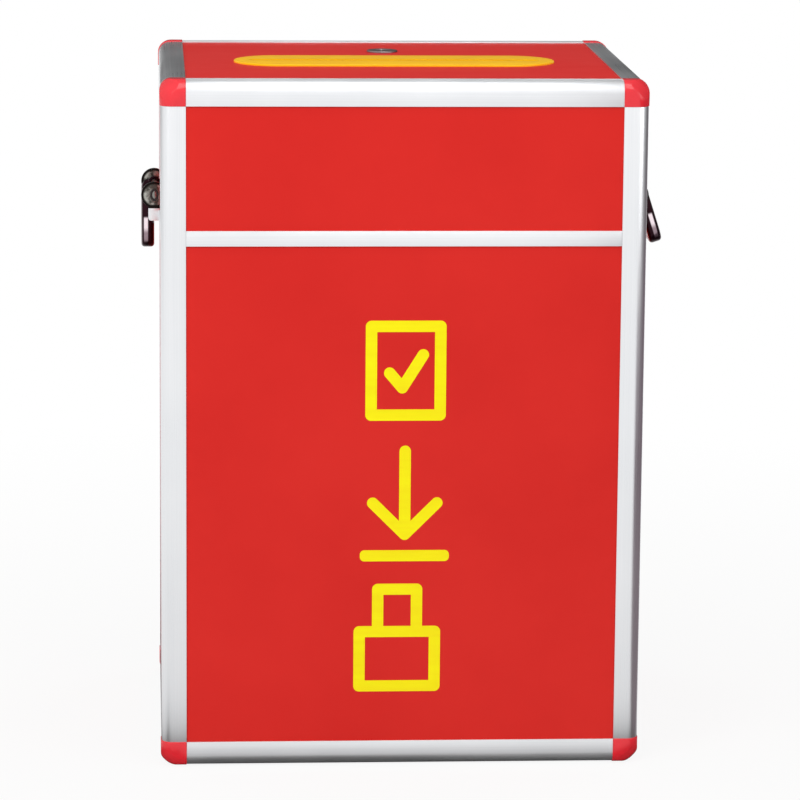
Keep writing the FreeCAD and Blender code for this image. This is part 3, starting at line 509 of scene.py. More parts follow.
@dataclass(frozen=True)
class CoatedBoard(Finish):
    """Red faced rigid board, calendered smooth and satin: an even strong red with a barely visible
    orange peel and a few slightly duller handling patches."""

    name: str = "red"
    colour: str = "DB2822"
    deep: str = "D5241F"
    peel: float = 2.2
    patch: float = 142.86
    roughness: float = 0.42
    family: ClassVar[str] = "coated_board_"
    slot: ClassVar[str] = "panels"

    def lay(self, tree: Tree, place: Socket) -> None:
        """Satin red skin with a shallow orange peel.

        Args:
            tree: Node tree of the material.
            place: Object coordinates.
        """
        peel = add_node(tree, "TexNoise", {"Scale": per_metre(self.peel), "Detail": 2.0}, {"Vector": place})
        patches = add_node(tree, "TexNoise",
                           {"Scale": per_metre(self.patch), "Detail": 4.0, "Roughness": 0.55},
                           {"Vector": place})
        relief = add_node(tree, "Bump", {"Strength": 0.1, "Distance": 0.05 * MILLIMETRE},
                          {"Height": peel.outputs["Fac"]})
        self.cover(tree, patches.outputs["Fac"],
                   Shading((self.deep, self.colour), (self.roughness + 0.05, self.roughness - 0.03),
                           colours_at=(0.35, 0.65), roughness_at=(0.35, 0.65)),
                   {"IOR": 1.46, "Specular IOR Level": 0.22}, {"Normal": relief.outputs["Normal"]})


@dataclass(frozen=True)
class MouldedPlastic(Finish):
    """Injection-moulded ABS from a mirror-finished or lightly etched mould: one even colour through the
    material, faint flow clouds, and a gloss that the mould's surface gives."""

    name: str
    colour: str
    deep: str
    roughness: float
    # Real mould grain is about a tenth of a millimetre wide, too fine to show, so it is drawn coarser.
    grain: float
    gloss: float = 0.5
    cloud: float = 22.222
    family: ClassVar[str] = "moulded_abs_"
    slot: ClassVar[str] = "corners"

    def lay(self, tree: Tree, place: Socket) -> None:
        """Even plastic with flow clouds and mould grain.

        Args:
            tree: Node tree of the material.
            place: Object coordinates.
        """
        clouds = add_node(tree, "TexNoise",
                          {"Scale": per_metre(self.cloud), "Detail": 3.0, "Distortion": 0.6},
                          {"Vector": place})
        grain = add_node(tree, "TexNoise", {"Scale": per_metre(self.grain), "Detail": 2.0}, {"Vector": place})
        relief = add_node(tree, "Bump", {"Strength": 0.15, "Distance": 0.03 * MILLIMETRE},
                          {"Height": grain.outputs["Fac"]})
        self.cover(tree, clouds.outputs["Fac"],
                   Shading((self.deep, self.colour), (self.roughness - 0.03, self.roughness + 0.04)),
                   {"IOR": 1.53, "Specular IOR Level": self.gloss}, {"Normal": relief.outputs["Normal"]})


@dataclass(frozen=True)
class SlotPlastic(MouldedPlastic):
    """The yellow plastic of the slot plate."""

    slot: ClassVar[str] = "slot_plate"


@dataclass(frozen=True)
class InnerPlastic(MouldedPlastic):
    """The plain plastic of the parts inside the box."""

    slot: ClassVar[str] = "inner_plastic"


@dataclass(frozen=True)
class PlatedMetal(Finish):
    """Electroplated metal, nickel and chrome over a buffed base: the base shade comes from the plating, small
    wear clouds dull it, and fine hairlines from wiping stretch its highlights."""

    name: str
    light: str
    dark: str
    roughness: float
    # Real hairlines are a few hundredths of a millimetre wide, too fine to show, so they are drawn coarser.
    hairline: float = 0.35
    hair_length: float = 10.5
    cloud: float = 16.667
    family: ClassVar[str] = "plated_"
    slot: ClassVar[str] = "handles"

    def lay(self, tree: Tree, place: Socket) -> None:
        """Plated metal with wiped hairlines and dull clouds.

        Args:
            tree: Node tree of the material.
            place: Object coordinates.
        """
        across = per_metre(self.hairline)
        stretched = add_node(tree, "Mapping", {"Scale": (across, per_metre(self.hair_length), across)},
                             {"Vector": place})
        hairs = add_node(tree, "TexNoise", {"Scale": 1.0, "Detail": 2.0}, {"Vector": stretched.outputs[0]})
        wear = add_node(tree, "TexNoise",
                        {"Scale": per_metre(self.cloud), "Detail": 5.0, "Roughness": 0.65},
                        {"Vector": place})
        relief = add_node(tree, "Bump", {"Strength": 0.08, "Distance": 0.02 * MILLIMETRE},
                          {"Height": hairs.outputs["Fac"]})
        self.cover(tree, wear.outputs["Fac"],
                   Shading((self.dark, self.light), (self.roughness + 0.07, self.roughness - 0.03),
                           colours_at=(0.35, 0.62)),
                   {"Metallic": 1.0}, {"Normal": relief.outputs["Normal"]})


@dataclass(frozen=True)
class PlatedLock(PlatedMetal):
    """The chrome of the cam locks, with a faint red tint that is a painted reflection of the red top."""

    slot: ClassVar[str] = "locks"


@dataclass(frozen=True)
class HandlePlating(PlatedMetal):
    """Plating of a handle's part, with painted highlights, reflections and shade laid out from the pivot:
    outwards along X, up along Z.
    """

    side: int = 1
    lift: float = 0.0
    pivot: Place = (214.7, 488.6)

    def layout(self, tree: Tree) -> tuple[Socket, bpy.types.Node, bpy.types.Node]:
        """What the painted highlights, reflections and shade are laid out by.

        Args:
            tree: Node tree of the material.

        Returns:
            Place from the pivot in millimetres, turned with the bail and alike on both sides of the box; the
            same split into X, Y and Z; and how far the surface faces along X, Y and Z, either way.
        """
        source = add_node(tree, "TexCoord")
        across, up = self.pivot
        place = add_node(tree, "Mapping",
                         {"vector_type": "TEXTURE",
                          "Location": (self.side * across * MILLIMETRE, 0.0, up * MILLIMETRE),
                          "Rotation": (0.0, -math.radians(self.lift), 0.0),
                          "Scale": (self.side * MILLIMETRE, MILLIMETRE, MILLIMETRE)},
                         {"Vector": source.outputs["Object"]}).outputs[0]
        either_way = add_node(tree, "VectorMath", {"operation": "ABSOLUTE"}, {"0": source.outputs["Normal"]})
        return (place, add_node(tree, "SeparateXYZ", None, {"Vector": place}),
                add_node(tree, "SeparateXYZ", None, {"Vector": either_way.outputs["Vector"]}))


SOFT = {"interpolation_type": "SMOOTHSTEP"}


@dataclass(frozen=True)
class BailChrome(HandlePlating):
    """Chrome of a bail, painted near-black as a painted dark reflection, with a painted highlight on the flat
    of each arm that is duller below, and a painted paler reflection on the faces turned along X.

    The strip's edges and the fade are soft steps, each from one distance to another.
    """

    # Where the painted highlight strip lies and where it dims, in millimetres from the pivot.
    strip: tuple[tuple[str, float, float], ...] = (("X", 5.3, 6.3), ("X", 9.8, 8.8), ("Z", -19.5, -22.0),
                                                   ("Z", -46.0, -44.0))
    fade: Place = (-29.0, -35.0)
    # Colours of the painted highlight, at its top and lower down, and of the painted reflection along X.
    bright: str = "FFEFF5"
    dull: str = "A08C94"
    outer_reflection: str = "B4AAAC"

    def painted_light(self, tree: Tree, colour: Socket) -> Socket:
        """Add the painted highlight strip on the arms' flats and the painted reflection on the faces turned
        along X.

        Args:
            tree: Node tree of the material.
            colour: The plating's colour.

        Returns:
            The colour for the shader.
        """
        _, spot, way = self.layout(tree)
        # Painted highlight: a strip on the flat faces of the arms.
        flat = add_node(tree, "MapRange", {"From Min": 0.8, "From Max": 0.95}, {"Value": way.outputs["Y"]})
        strip = flat.outputs["Result"]
        for axis, start, end in self.strip:
            edge = add_node(tree, "MapRange", {**SOFT, "From Min": start, "From Max": end},
                            {"Value": spot.outputs[axis]})
            strip = add_node(tree, "Math", {"operation": "MULTIPLY"},
                             {"0": strip, "1": edge.outputs["Result"]}).outputs[0]
        # Painted reflection: a paler colour on the faces turned along X.
        outer = add_node(tree, "MapRange", {"From Min": 0.6, "From Max": 0.95}, {"Value": way.outputs["X"]})
        outer_reflected = add_node(tree, "Mix", {"data_type": "RGBA", "7": linear(self.outer_reflection)},
                            {"0": outer.outputs["Result"], "6": colour})
        # The painted highlight dims further down the arm.
        lower = add_node(tree, "MapRange", {**SOFT, "From Min": self.fade[0], "From Max": self.fade[1]},
                         {"Value": spot.outputs["Z"]})
        shade = add_node(tree, "Mix", {"data_type": "RGBA", "6": linear(self.bright), "7": linear(self.dull)},
                         {"0": lower.outputs["Result"]})
        return add_node(tree, "Mix", {"data_type": "RGBA"},
                        {"0": strip, "6": outer_reflected.outputs[2], "7": shade.outputs[2]}).outputs[2]


@dataclass(frozen=True)
class EarNickel(HandlePlating):
    """Nickel of an ear, cast rough, with patches of painted reflection round the pivot, painted shade
    near-black at its rim and at its foot, and a plain painted grey on its faces not turned along Y."""

    # Size of the painted reflection patches, where the painted shade at the rim and the foot sets in, its
    # near-black, and the painted grey of faces not turned along Y.
    reflection_patch: float = 5.5
    rim: Place = (8.6, 10.2)
    foot: Place = (-8.0, -9.5)
    rim_foot_shade: str = "1E1A18"
    edge: str = "8A8886"

    def painted_light(self, tree: Tree, colour: Socket) -> Socket:
        """Lay painted reflection patches on the face, painted shade at the rim and the foot, and painted grey
        on the faces not turned along Y.

        Args:
            tree: Node tree of the material.
            colour: The plating's colour, which is not used: the painted patches cover it.

        Returns:
            The colour for the shader.
        """
        place, spot, way = self.layout(tree)
        # Painted reflections: light and dark patches on the face.
        reflection_patches = add_node(tree, "TexNoise", {"Scale": 1 / self.reflection_patch, "Detail": 2.0}, {"Vector": place})
        face = add_node(tree, "ValToRGB", {"stops": ((0.4, self.dark), (0.6, self.light))},
                        {"Fac": reflection_patches.outputs["Fac"]})
        level = add_node(tree, "VectorMath", {"operation": "MULTIPLY", "1": (1.0, 0.0, 1.0)}, {"0": place})
        away = add_node(tree, "VectorMath", {"operation": "LENGTH"}, {"0": level.outputs["Vector"]})
        # Painted shade: near-black at the rim and at the foot.
        rim = add_node(tree, "MapRange", {**SOFT, "From Min": self.rim[0], "From Max": self.rim[1]},
                       {"Value": away.outputs["Value"]})
        foot = add_node(tree, "MapRange", {**SOFT, "From Min": self.foot[0], "From Max": self.foot[1]},
                        {"Value": spot.outputs["Z"]})
        dark = add_node(tree, "Math", {"operation": "MAXIMUM"},
                        {"0": rim.outputs["Result"], "1": foot.outputs["Result"]})
        darkened = add_node(tree, "Mix", {"data_type": "RGBA", "7": linear(self.rim_foot_shade)},
                          {"0": dark.outputs[0], "6": face.outputs["Color"]})
        # Painted grey on the faces not turned along Y.
        flat = add_node(tree, "MapRange", {"From Min": 0.5, "From Max": 0.8}, {"Value": way.outputs["Y"]})
        return add_node(tree, "Mix", {"data_type": "RGBA", "6": linear(self.edge)},
                        {"0": flat.outputs["Result"], "7": darkened.outputs[2]}).outputs[2]


@dataclass(frozen=True)
class BrushedSteel(Finish):
    """Stainless steel strip, brushed along the hinge: fine parallel scratches that draw highlights out."""

    name: str = "strip"
    light: str = "B9BABC"
    dark: str = "9C9EA1"
    # Real brushing is about a tenth of a millimetre wide, too fine to show, so it is drawn coarser.
    scratch: float = 0.4
    scratch_length: float = 24.0
    family: ClassVar[str] = "brushed_steel_"
    slot: ClassVar[str] = "hinge"

    def lay(self, tree: Tree, place: Socket) -> None:
        """Steel with scratches along Z.

        Args:
            tree: Node tree of the material.
            place: Object coordinates.
        """
        across = per_metre(self.scratch)
        stretched = add_node(tree, "Mapping", {"Scale": (across, across, per_metre(self.scratch_length))},
                             {"Vector": place})
        scratches = add_node(tree, "TexNoise", {"Scale": 1.0, "Detail": 3.0},
                             {"Vector": stretched.outputs[0]})
        relief = add_node(tree, "Bump", {"Strength": 0.2, "Distance": 0.04 * MILLIMETRE},
                          {"Height": scratches.outputs["Fac"]})
        self.cover(tree, scratches.outputs["Fac"], Shading((self.dark, self.light), roughness=(0.42, 0.28)),
                   {"Metallic": 1.0}, {"Normal": relief.outputs["Normal"]})


@dataclass(frozen=True)
class ZincPlate(Finish):
    """Zinc-plated pressed steel: pale grey with the soft spangle of the plating, duller than chrome."""

    name: str = "pressed"
    light: str = "C3C5C6"
    dark: str = "A6A8AA"
    spangle: float = 3.0
    haze: float = 11.111
    family: ClassVar[str] = "zinc_plate_"
    slot: ClassVar[str] = "sheet_metal"

    def lay(self, tree: Tree, place: Socket) -> None:
        """Dull plating with spangle.

        Args:
            tree: Node tree of the material.
            place: Object coordinates.
        """
        crystals = add_node(tree, "TexVoronoi", {"Scale": per_metre(self.spangle)}, {"Vector": place})
        haze = add_node(tree, "TexNoise", {"Scale": per_metre(self.haze), "Detail": 4.0}, {"Vector": place})
        mixed = add_node(tree, "Mix", {"data_type": "RGBA", "0": 0.6},
                         {"6": crystals.outputs["Color"], "7": haze.outputs["Color"]})
        grey = add_node(tree, "RGBToBW", None, {"Color": mixed.outputs[2]})
        self.cover(tree, grey.outputs[0], Shading((self.dark, self.light), roughness=(0.38, 0.5)),
                   {"Metallic": 1.0}, {})


@dataclass(frozen=True)
class ZincFastener(ZincPlate):
    """The same plating on screws and rivets."""

    slot: ClassVar[str] = "fasteners"


@dataclass(frozen=True)
class CastVinyl(Finish):
    """Self-adhesive film cut to shape: a flat strong yellow, slightly softer where it was squeegeed."""

    name: str = "yellow"
    colour: str = "FFF500"
    deep: str = "FBE900"
    streak: float = 9.0
    streak_length: float = 72.0
    family: ClassVar[str] = "cast_vinyl_"
    slot: ClassVar[str] = "panels"

    def lay(self, tree: Tree, place: Socket) -> None:
        """Yellow film with squeegee streaks.

        Args:
            tree: Node tree of the material.
            place: Object coordinates.
        """
        across = per_metre(self.streak)
        stretched = add_node(tree, "Mapping", {"Scale": (per_metre(self.streak_length), across, across)},
                             {"Vector": place})
        streaks = add_node(tree, "TexNoise", {"Scale": 1.0, "Detail": 3.0}, {"Vector": stretched.outputs[0]})
        self.cover(tree, streaks.outputs["Fac"], Shading((self.deep, self.colour), roughness=(0.36, 0.48)),
                   {"IOR": 1.46, "Specular IOR Level": 0.3}, {})


UPRIGHT, LENGTHWISE = AnodisedAluminium(Axis.Z), AnodisedAluminium(Axis.Y)
CROSSWISE = AnodisedAluminium(Axis.X, roughness=0.38, stretch=0.8)
RED_BOARD = CoatedBoard()
CORNER_RED = MouldedPlastic("corner_red", "EE2C38", "E42430", 0.15, 1.2)
SLOT_YELLOW = SlotPlastic("slot_yellow", "FFC60A", "FFC008", 0.4, 0.9, 0.3)
BLACK_PLASTIC = InnerPlastic("black", "1B1A1B", "131213", 0.45, 0.9)
# The bails' near-black plating colours are a painted dark reflection.
LEFT_BAIL = BailChrome("left_bail_chrome", "321C22", "231218", 0.18, side=-1)
RIGHT_BAIL = BailChrome("right_bail_chrome", "321C22", "231218", 0.18, side=1, lift=18.0)
# The ears' two colours are those of the painted reflection patches.
LEFT_EAR = EarNickel("left_ear_nickel", "B8B8B0", "54524C", 0.26, side=-1)
RIGHT_EAR = EarNickel("right_ear_nickel", "B8B8B0", "54524C", 0.26, side=1)
PIN_NICKEL = PlatedMetal("pin_nickel", "8F8F8A", "74746F", 0.22)
# The faint red tint of the lock chrome is a painted reflection of the red top.
LOCK_CHROME = PlatedLock("lock_chrome", "A49898", "8E8282", 0.36)
HINGE_STEEL = BrushedSteel()
ZINC = ZincPlate()
SCREW_ZINC = ZincFastener("fastener")
VINYL = CastVinyl()


def dress(piece: Piece, finish: Finish) -> None:
    """Give a piece or a CAD node one finish all over.

    Args:
        piece: Mesh object.
        finish: Its surface.
    """
    if not piece.material_slots:
        piece.data.materials.append(None)
    for entry in piece.material_slots:
        entry.material = finish.material()


def finish_piece(piece: Piece, name: str, body: str, finish: Finish, replaced: tuple[str, ...] = (),
                 place: Matrix = AT_REST, smooth: float = 35.0) -> Piece:
    """Bring a piece to its place and to metres, dress it and let it ride on its body.

    Args:
        piece: Object modelled in millimetres.
        name: Name of the finished piece.
        body: CAD body that it moves with.
        finish: Its surface.
        replaced: CAD nodes that it stands for.
        place: Matrix from the piece's own frame to the box's, in millimetres.
        smooth: Edges flatter than this many degrees are shaded smooth.

    Returns:
        The finished piece.
    """
    piece.name = name
    piece.data.name = name
    piece.data.transform(Matrix.Diagonal((MILLIMETRE,) * 3 + (1.0,)) @ place)
    activate(piece)
    bpy.ops.object.shade_smooth_by_angle(angle=math.radians(smooth))
    piece.data.materials.clear()
    dress(piece, finish)
    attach(piece, body)
    if replaced:
        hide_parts(*replaced)
    LOG.info("%s: %d faces on %s", name, len(piece.data.polygons), body)
    return piece


# The box's frame


@dataclass
class BoxFrame:
    """Edge rails, ball corners and mid rails: the bright skeleton that the panels are held in.

    The rail's section is a rounded square tube with a panel groove along each of its two inner sides. Its
    hollow is bevelled in the rounded corner, and so are the ball corners' legs that slide into it.
    """

    width: float = 420.0
    depth: float = 360.0
    height: float = 604.0
    ground: float = 0.6
    rail: float = 22.0
    rounding: float = 10.0
    wall: float = 1.3
    rail_facets: int = 14
    core: float = 13.0
    groove: float = 5.2
    proud: float = 0.6
    ball_radius: float = 28.17
    ball_sides: int = 96
    ball_rings: int = 64
    ball_facets: int = 16
    leg: float = 28.0
    leg_root: float = 0.5
    leg_clearance: float = 0.1
    middle: float = 468.6
    mid_height: float = 13.4
    mid_web: float = 3.4
    panel_clearance: float = 0.1
    tongue_root: float = 1.0
    tongue_reach: float = 8.0
    lip_break: float = 0.25
    edge_break: float = 0.35
    tongue_break: float = 0.3
    leg_break: float = 0.6
    beyond: float = 2.0

    @property
    def back(self) -> float:
        """Depth of the rail's walls with the groove between them."""
        return 2 * self.wall + self.groove

    @property
    def levels(self) -> tuple[tuple[str, float, Vector], ...]:
        """Name and height of the lowest and the highest rails, and the way from each into the box."""
        return ("bottom", self.ground, Z), ("top", self.ground + self.height, -Z)

    def rail_pattern(self, length: float) -> Piece:
        """One length of edge rail in its own frame, centred on its middle.

        Args:
            length: Length of the rail.

        Returns:
            The pattern, to be copied.
        """
        low, high = -length / 2, length / 2
        far = self.rail + self.beyond
        start, end = low - self.beyond, high + self.beyond
        rail = new_block((0, 0, low), (self.rail, self.rail, high))
        round_edges(rail, self.rounding, self.rail_facets,
                    lambda spot, way: max(spot.x, spot.y) < TOUCH and abs(way.z) > ALONG)
        hollow_end = self.core - self.wall
        hollow = new_block((self.wall, self.wall, start), (hollow_end, hollow_end, end))
        round_edges(hollow, self.rounding - self.wall, steps=1,
                    wanted=lambda spot, way: max(spot.x, spot.y) < self.wall + TOUCH and abs(way.z) > ALONG)
        inner = self.wall + self.groove
        cut(rail, hollow,
            new_block((self.core, self.wall, start), (far, inner, end)),
            new_block((self.wall, self.core, start), (inner, far, end)),
            new_block((self.core, self.back, start), (far, far, end)),
            new_block((self.back, self.core, start), (far, far, end)))
        soften(rail, self.lip_break)
        return rail

    def build_rails(self) -> None:
        """Place the twelve edge rails."""
        half_x, half_y, middle = self.width / 2, self.depth / 2, self.ground + self.height / 2
        posts = {"front_left_post": (X, Y, (-half_x, -half_y, middle)),
                 "front_right_post": (Y, -X, (half_x, -half_y, middle)),
                 "rear_right_post": (-X, -Y, (half_x, half_y, middle)),
                 "rear_left_post": (-Y, X, (-half_x, half_y, middle))}
        crosswise: dict[str, tuple[Vector, Vector, Point]] = {}
        lengthwise: dict[str, tuple[Vector, Vector, Point]] = {}
        for level, height, inward in self.levels:
            crosswise[level + "_front_rail"] = (Y, inward, (0, -half_y, height))
            crosswise[level + "_rear_rail"] = (-Y, inward, (0, half_y, height))
            lengthwise[level + "_left_rail"] = (X, inward, (-half_x, 0, height))
            lengthwise[level + "_right_rail"] = (-X, inward, (half_x, 0, height))
        for runs, length, finish in ((posts, self.height, UPRIGHT), (crosswise, self.width, CROSSWISE),
                                     (lengthwise, self.depth, LENGTHWISE)):
            self.lay_runs(self.rail_pattern(length - 2 * self.rail), runs, finish)

    @staticmethod
    def lay_runs(pattern: Piece, runs: dict[str, tuple[Vector, Vector, Point]], finish: Finish) -> None:
        """Copy a pattern to each of its places and remove it.

        Args:
            pattern: Length of profile in its own frame.
            runs: For each CAD node, where the profile's X and Y axes point and where its origin lies.
            finish: Its surface.
        """
        for node, place in runs.items():
            finish_piece(copy_of(pattern), "satin_" + node, "root", finish, (node,), along(*place))
        drop(pattern)

    def corner_pattern(self) -> Piece:
        """One ball corner in its own frame, with its three legs.

        Returns:
            The pattern, to be copied.
        """
        outer = -self.proud
        corner = new_block((outer,) * 3, (self.rail,) * 3)
        round_edges(corner, self.rounding + self.proud, self.ball_facets,
                    lambda spot, way: sum(value < outer + TOUCH for value in spot) == 2)
        deselect_all()
        bpy.ops.mesh.primitive_uv_sphere_add(segments=self.ball_sides, ring_count=self.ball_rings,
                                             radius=self.ball_radius, location=(self.rail,) * 3)
        bpy.ops.object.transform_apply(location=True, rotation=True, scale=True)
        combine(corner, Combine.TRIM, bpy.context.object)
        far = self.rail + self.beyond
        cut(corner,
            new_block((self.wall, self.core, self.core), (far, far, far)),
            new_block((self.core, self.wall, self.core), (far, far, far)),
            new_block((self.core, self.core, self.wall), (far, far, far)))
        soften(corner, self.edge_break, steps=3)
        low = self.wall + self.leg_clearance
        high = self.core - low
        root, end = self.core - self.wall - self.leg_root, self.rail + self.leg
        legs = []
        for axis in Axis:
            start, stop = [low] * 3, [high] * 3
            start[axis.value], stop[axis.value] = root, end
            leg = new_block(tuple(start), tuple(stop))
            round_edges(leg, self.rounding - low, steps=1, wanted=self.leg_edge(axis, low))
            soften(leg, self.leg_break)
            legs.append(leg)
        return gather([corner] + legs)

    @staticmethod
    def leg_edge(axis: Axis, low: float) -> Test:
        """Test for the one long edge of a leg that faces the rail's rounding.

        Args:
            axis: Direction of the leg.
            low: Coordinate of the leg's two outer sides.

        Returns:
            The test.
        """
        others = [other.value for other in Axis if other is not axis]
        return lambda spot, way: all(spot[index] < low + TOUCH for index in others)

    def build_corners(self) -> None:
        """Place the eight ball corners, four to a piece as the CAD groups them."""
        pattern = self.corner_pattern()
        for level, height, inward in self.levels:
            for corner, right, rear in (("front_left", -1, -1), ("front_right", 1, -1), ("rear_right", 1, 1),
                                        ("rear_left", -1, 1)):
                first, second = -right * X, -rear * Y
                if first.cross(second).dot(inward) < 0:
                    first, second = second, first
                origin = (right * self.width / 2, rear * self.depth / 2, height)
                finish_piece(copy_of(pattern), "%s_%s_ball_corner" % (level, corner), "root", CORNER_RED,
                             (level + "_ball_corners",), along(first, second, origin))
        drop(pattern)

    def mid_pattern(self, clear: float) -> Piece:
        """H-section strip between two posts, with its web's tongues.

        Args:
            clear: Length between the posts.

        Returns:
            The pattern, to be copied.
        """
        half, tall, web = clear / 2, self.mid_height / 2, self.mid_web / 2
        strip = new_block((0, -tall, -half), (self.back, tall, half))
        inner = self.wall + self.groove
        start, end = -half - self.beyond, half + self.beyond
        cut(strip, new_block((self.wall, web, start), (inner, tall + self.beyond, end)),
            new_block((self.wall, -tall - self.beyond, start), (inner, -web, end)))
        soften(strip, self.edge_break)
        tongue_low, tongue_high = self.wall + self.panel_clearance, inner - self.panel_clearance
        tongues = []
        for side in (-1, 1):
            levels = sorted((side * (half - self.tongue_root), side * (half + self.tongue_reach)))
            tongue = new_block((tongue_low, -web, levels[0]), (tongue_high, web, levels[1]))
            soften(tongue, self.tongue_break)
            tongues.append(tongue)
        return gather([strip] + tongues)

    def build_mid_rails(self) -> None:
        """Place the four strips at the handles' height."""
        half_x, half_y = self.width / 2, self.depth / 2
        crosswise = {"front_mid_rail": (Y, Z, (0, -half_y, self.middle)),
                     "rear_mid_rail": (-Y, Z, (0, half_y, self.middle))}
        lengthwise = {"left_mid_rail": (X, Z, (-half_x, 0, self.middle)),
                      "right_mid_rail": (-X, Z, (half_x, 0, self.middle))}
        for runs, length, finish in ((crosswise, self.width, CROSSWISE),
                                     (lengthwise, self.depth, LENGTHWISE)):
            self.lay_runs(self.mid_pattern(length - 2 * self.rail), runs, finish)

    def build(self) -> None:
        """Build the whole skeleton."""
        self.build_rails()
        self.build_corners()
        self.build_mid_rails()


# What the CAD's own shapes are enough for


@dataclass
class CarriedNodes:
    """CAD nodes whose shape is right and which only get their finish."""

    boards: tuple[str, ...] = ("front_upper_panel", "front_lower_panel", "rear_upper_panel",
                               "left_upper_panel", "left_lower_panel", "right_upper_panel",
                               "right_lower_panel", "bottom_panel", "top_panel", "door_panel")
    pressed: tuple[str, ...] = ("slot_shutter", "top_lock_clip", "door_lock_clip", "top_lock_crank",
                                "door_lock_cam")
    moulded: tuple[str, ...] = ("slot_retainer",)
    extruded: tuple[str, ...] = ("door_frame",)
    strips: tuple[str, ...] = ("hinge_pin",)

    def build(self) -> None:
        """Dress every carried node."""
        groups = ((self.boards, RED_BOARD), (self.pressed, ZINC), (self.moulded, BLACK_PLASTIC),
                  (self.extruded, UPRIGHT), (self.strips, HINGE_STEEL))
        for names, finish in groups:
            for name in names:
                dress(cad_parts[name], finish)
                LOG.info("%s: carried over", name)


# The top


@dataclass
class SlotPlate:
    """Yellow moulded slot plate: a thin oblong with round ends and a soft rim, the slit with its collar, and
    four snap tabs."""

    centre_y: float = -8.0
    face: float = 603.2
    length: float = 287.0
    width: float = 80.0
    height: float = 1.8
    rim: float = 1.0
    end_facets: int = 160
    slit_length: float = 260.0
    slit_width: float = 10.0
    slit_facets: int = 48
    wall: float = 2.0
    panel: float = 5.0
    retainer: float = 3.0
    tab_x: float = 85.0
    tab_y: float = 31.0
    tab_length: float = 10.0
    tab_thickness: float = 2.0
    hook: float = 1.0
    hook_height: float = 1.6
    hook_rounding: float = 0.8
    clearance: float = 0.1
    overlap: float = 0.5
    beyond: float = 2.0

    def stadium(self, length: float, width: float, low: float, high: float, sides: int) -> Piece:
        """Oblong with round ends, from a disc whose two halves are moved apart.

        Args:
            length: Overall length along X.
            width: Width along Y, and diameter of the ends.
            low: Level of its underside.
            high: Level of its top.
            sides: Number of facets round both ends together.

        Returns:
            The new mesh object.
        """
        oblong = new_rod(width / 2, low, high, (0, 0), sides=sides)
        oblong.data.transform(Matrix.Rotation(math.pi / sides, 4, "Z"))
        with editing(oblong):
            for side in (-1, 1):
                pick(oblong, Element.POINT, lambda spot, way: spot.x * side > 0)
                bpy.ops.transform.translate(value=(side * (length - width) / 2, 0, 0))
        return oblong

    def build(self) -> None:
        """Build the plate."""
        plate = self.stadium(self.length, self.width, 0, self.height, self.end_facets)
        round_edges(plate, self.rim, steps=5, wanted=lambda spot, way: spot.z > self.height - SKIM)
        half_x, half_y = self.slit_length / 2 + self.wall, self.slit_width / 2 + self.wall
        weld(plate, new_block((-half_x, -half_y, -self.panel), (half_x, half_y, self.overlap)))
        cut(plate, self.stadium(self.slit_length, self.slit_width, -self.panel - self.beyond,
                                self.height + self.beyond, self.slit_facets))
        root = self.tab_y - self.tab_thickness
        under = -self.panel - self.retainer - self.clearance
        foot = under - self.hook_height
        for x_side in (-1, 1):
            left, right = x_side * self.tab_x - self.tab_length / 2, x_side * self.tab_x + self.tab_length / 2
            for y_side in (-1, 1):
                near, far, hook = y_side * root, y_side * self.tab_y, y_side * (self.tab_y + self.hook)
                tab = new_block((left, min(near, far), under), (right, max(near, far), self.overlap))
                catch = new_block((left, min(near, hook), foot), (right, max(near, hook), under))
                round_edges(catch, self.hook_rounding, steps=3, wanted=self.catch_edge(hook, foot))
                weld(plate, tab, catch)
        finish_piece(plate, "moulded_slot_plate", "root", SLOT_YELLOW, ("slot_plate",),
                     Matrix.Translation((0, self.centre_y, self.face)))

    @staticmethod
    def catch_edge(across: float, level: float) -> Test:
        """Test for a hook's lower outer edge.

        Args:
            across: Its Y.
            level: Its Z.

        Returns:
            The test.
        """
        return lambda spot, way: abs(spot.y - across) < SKIM and abs(spot.z - level) < SKIM


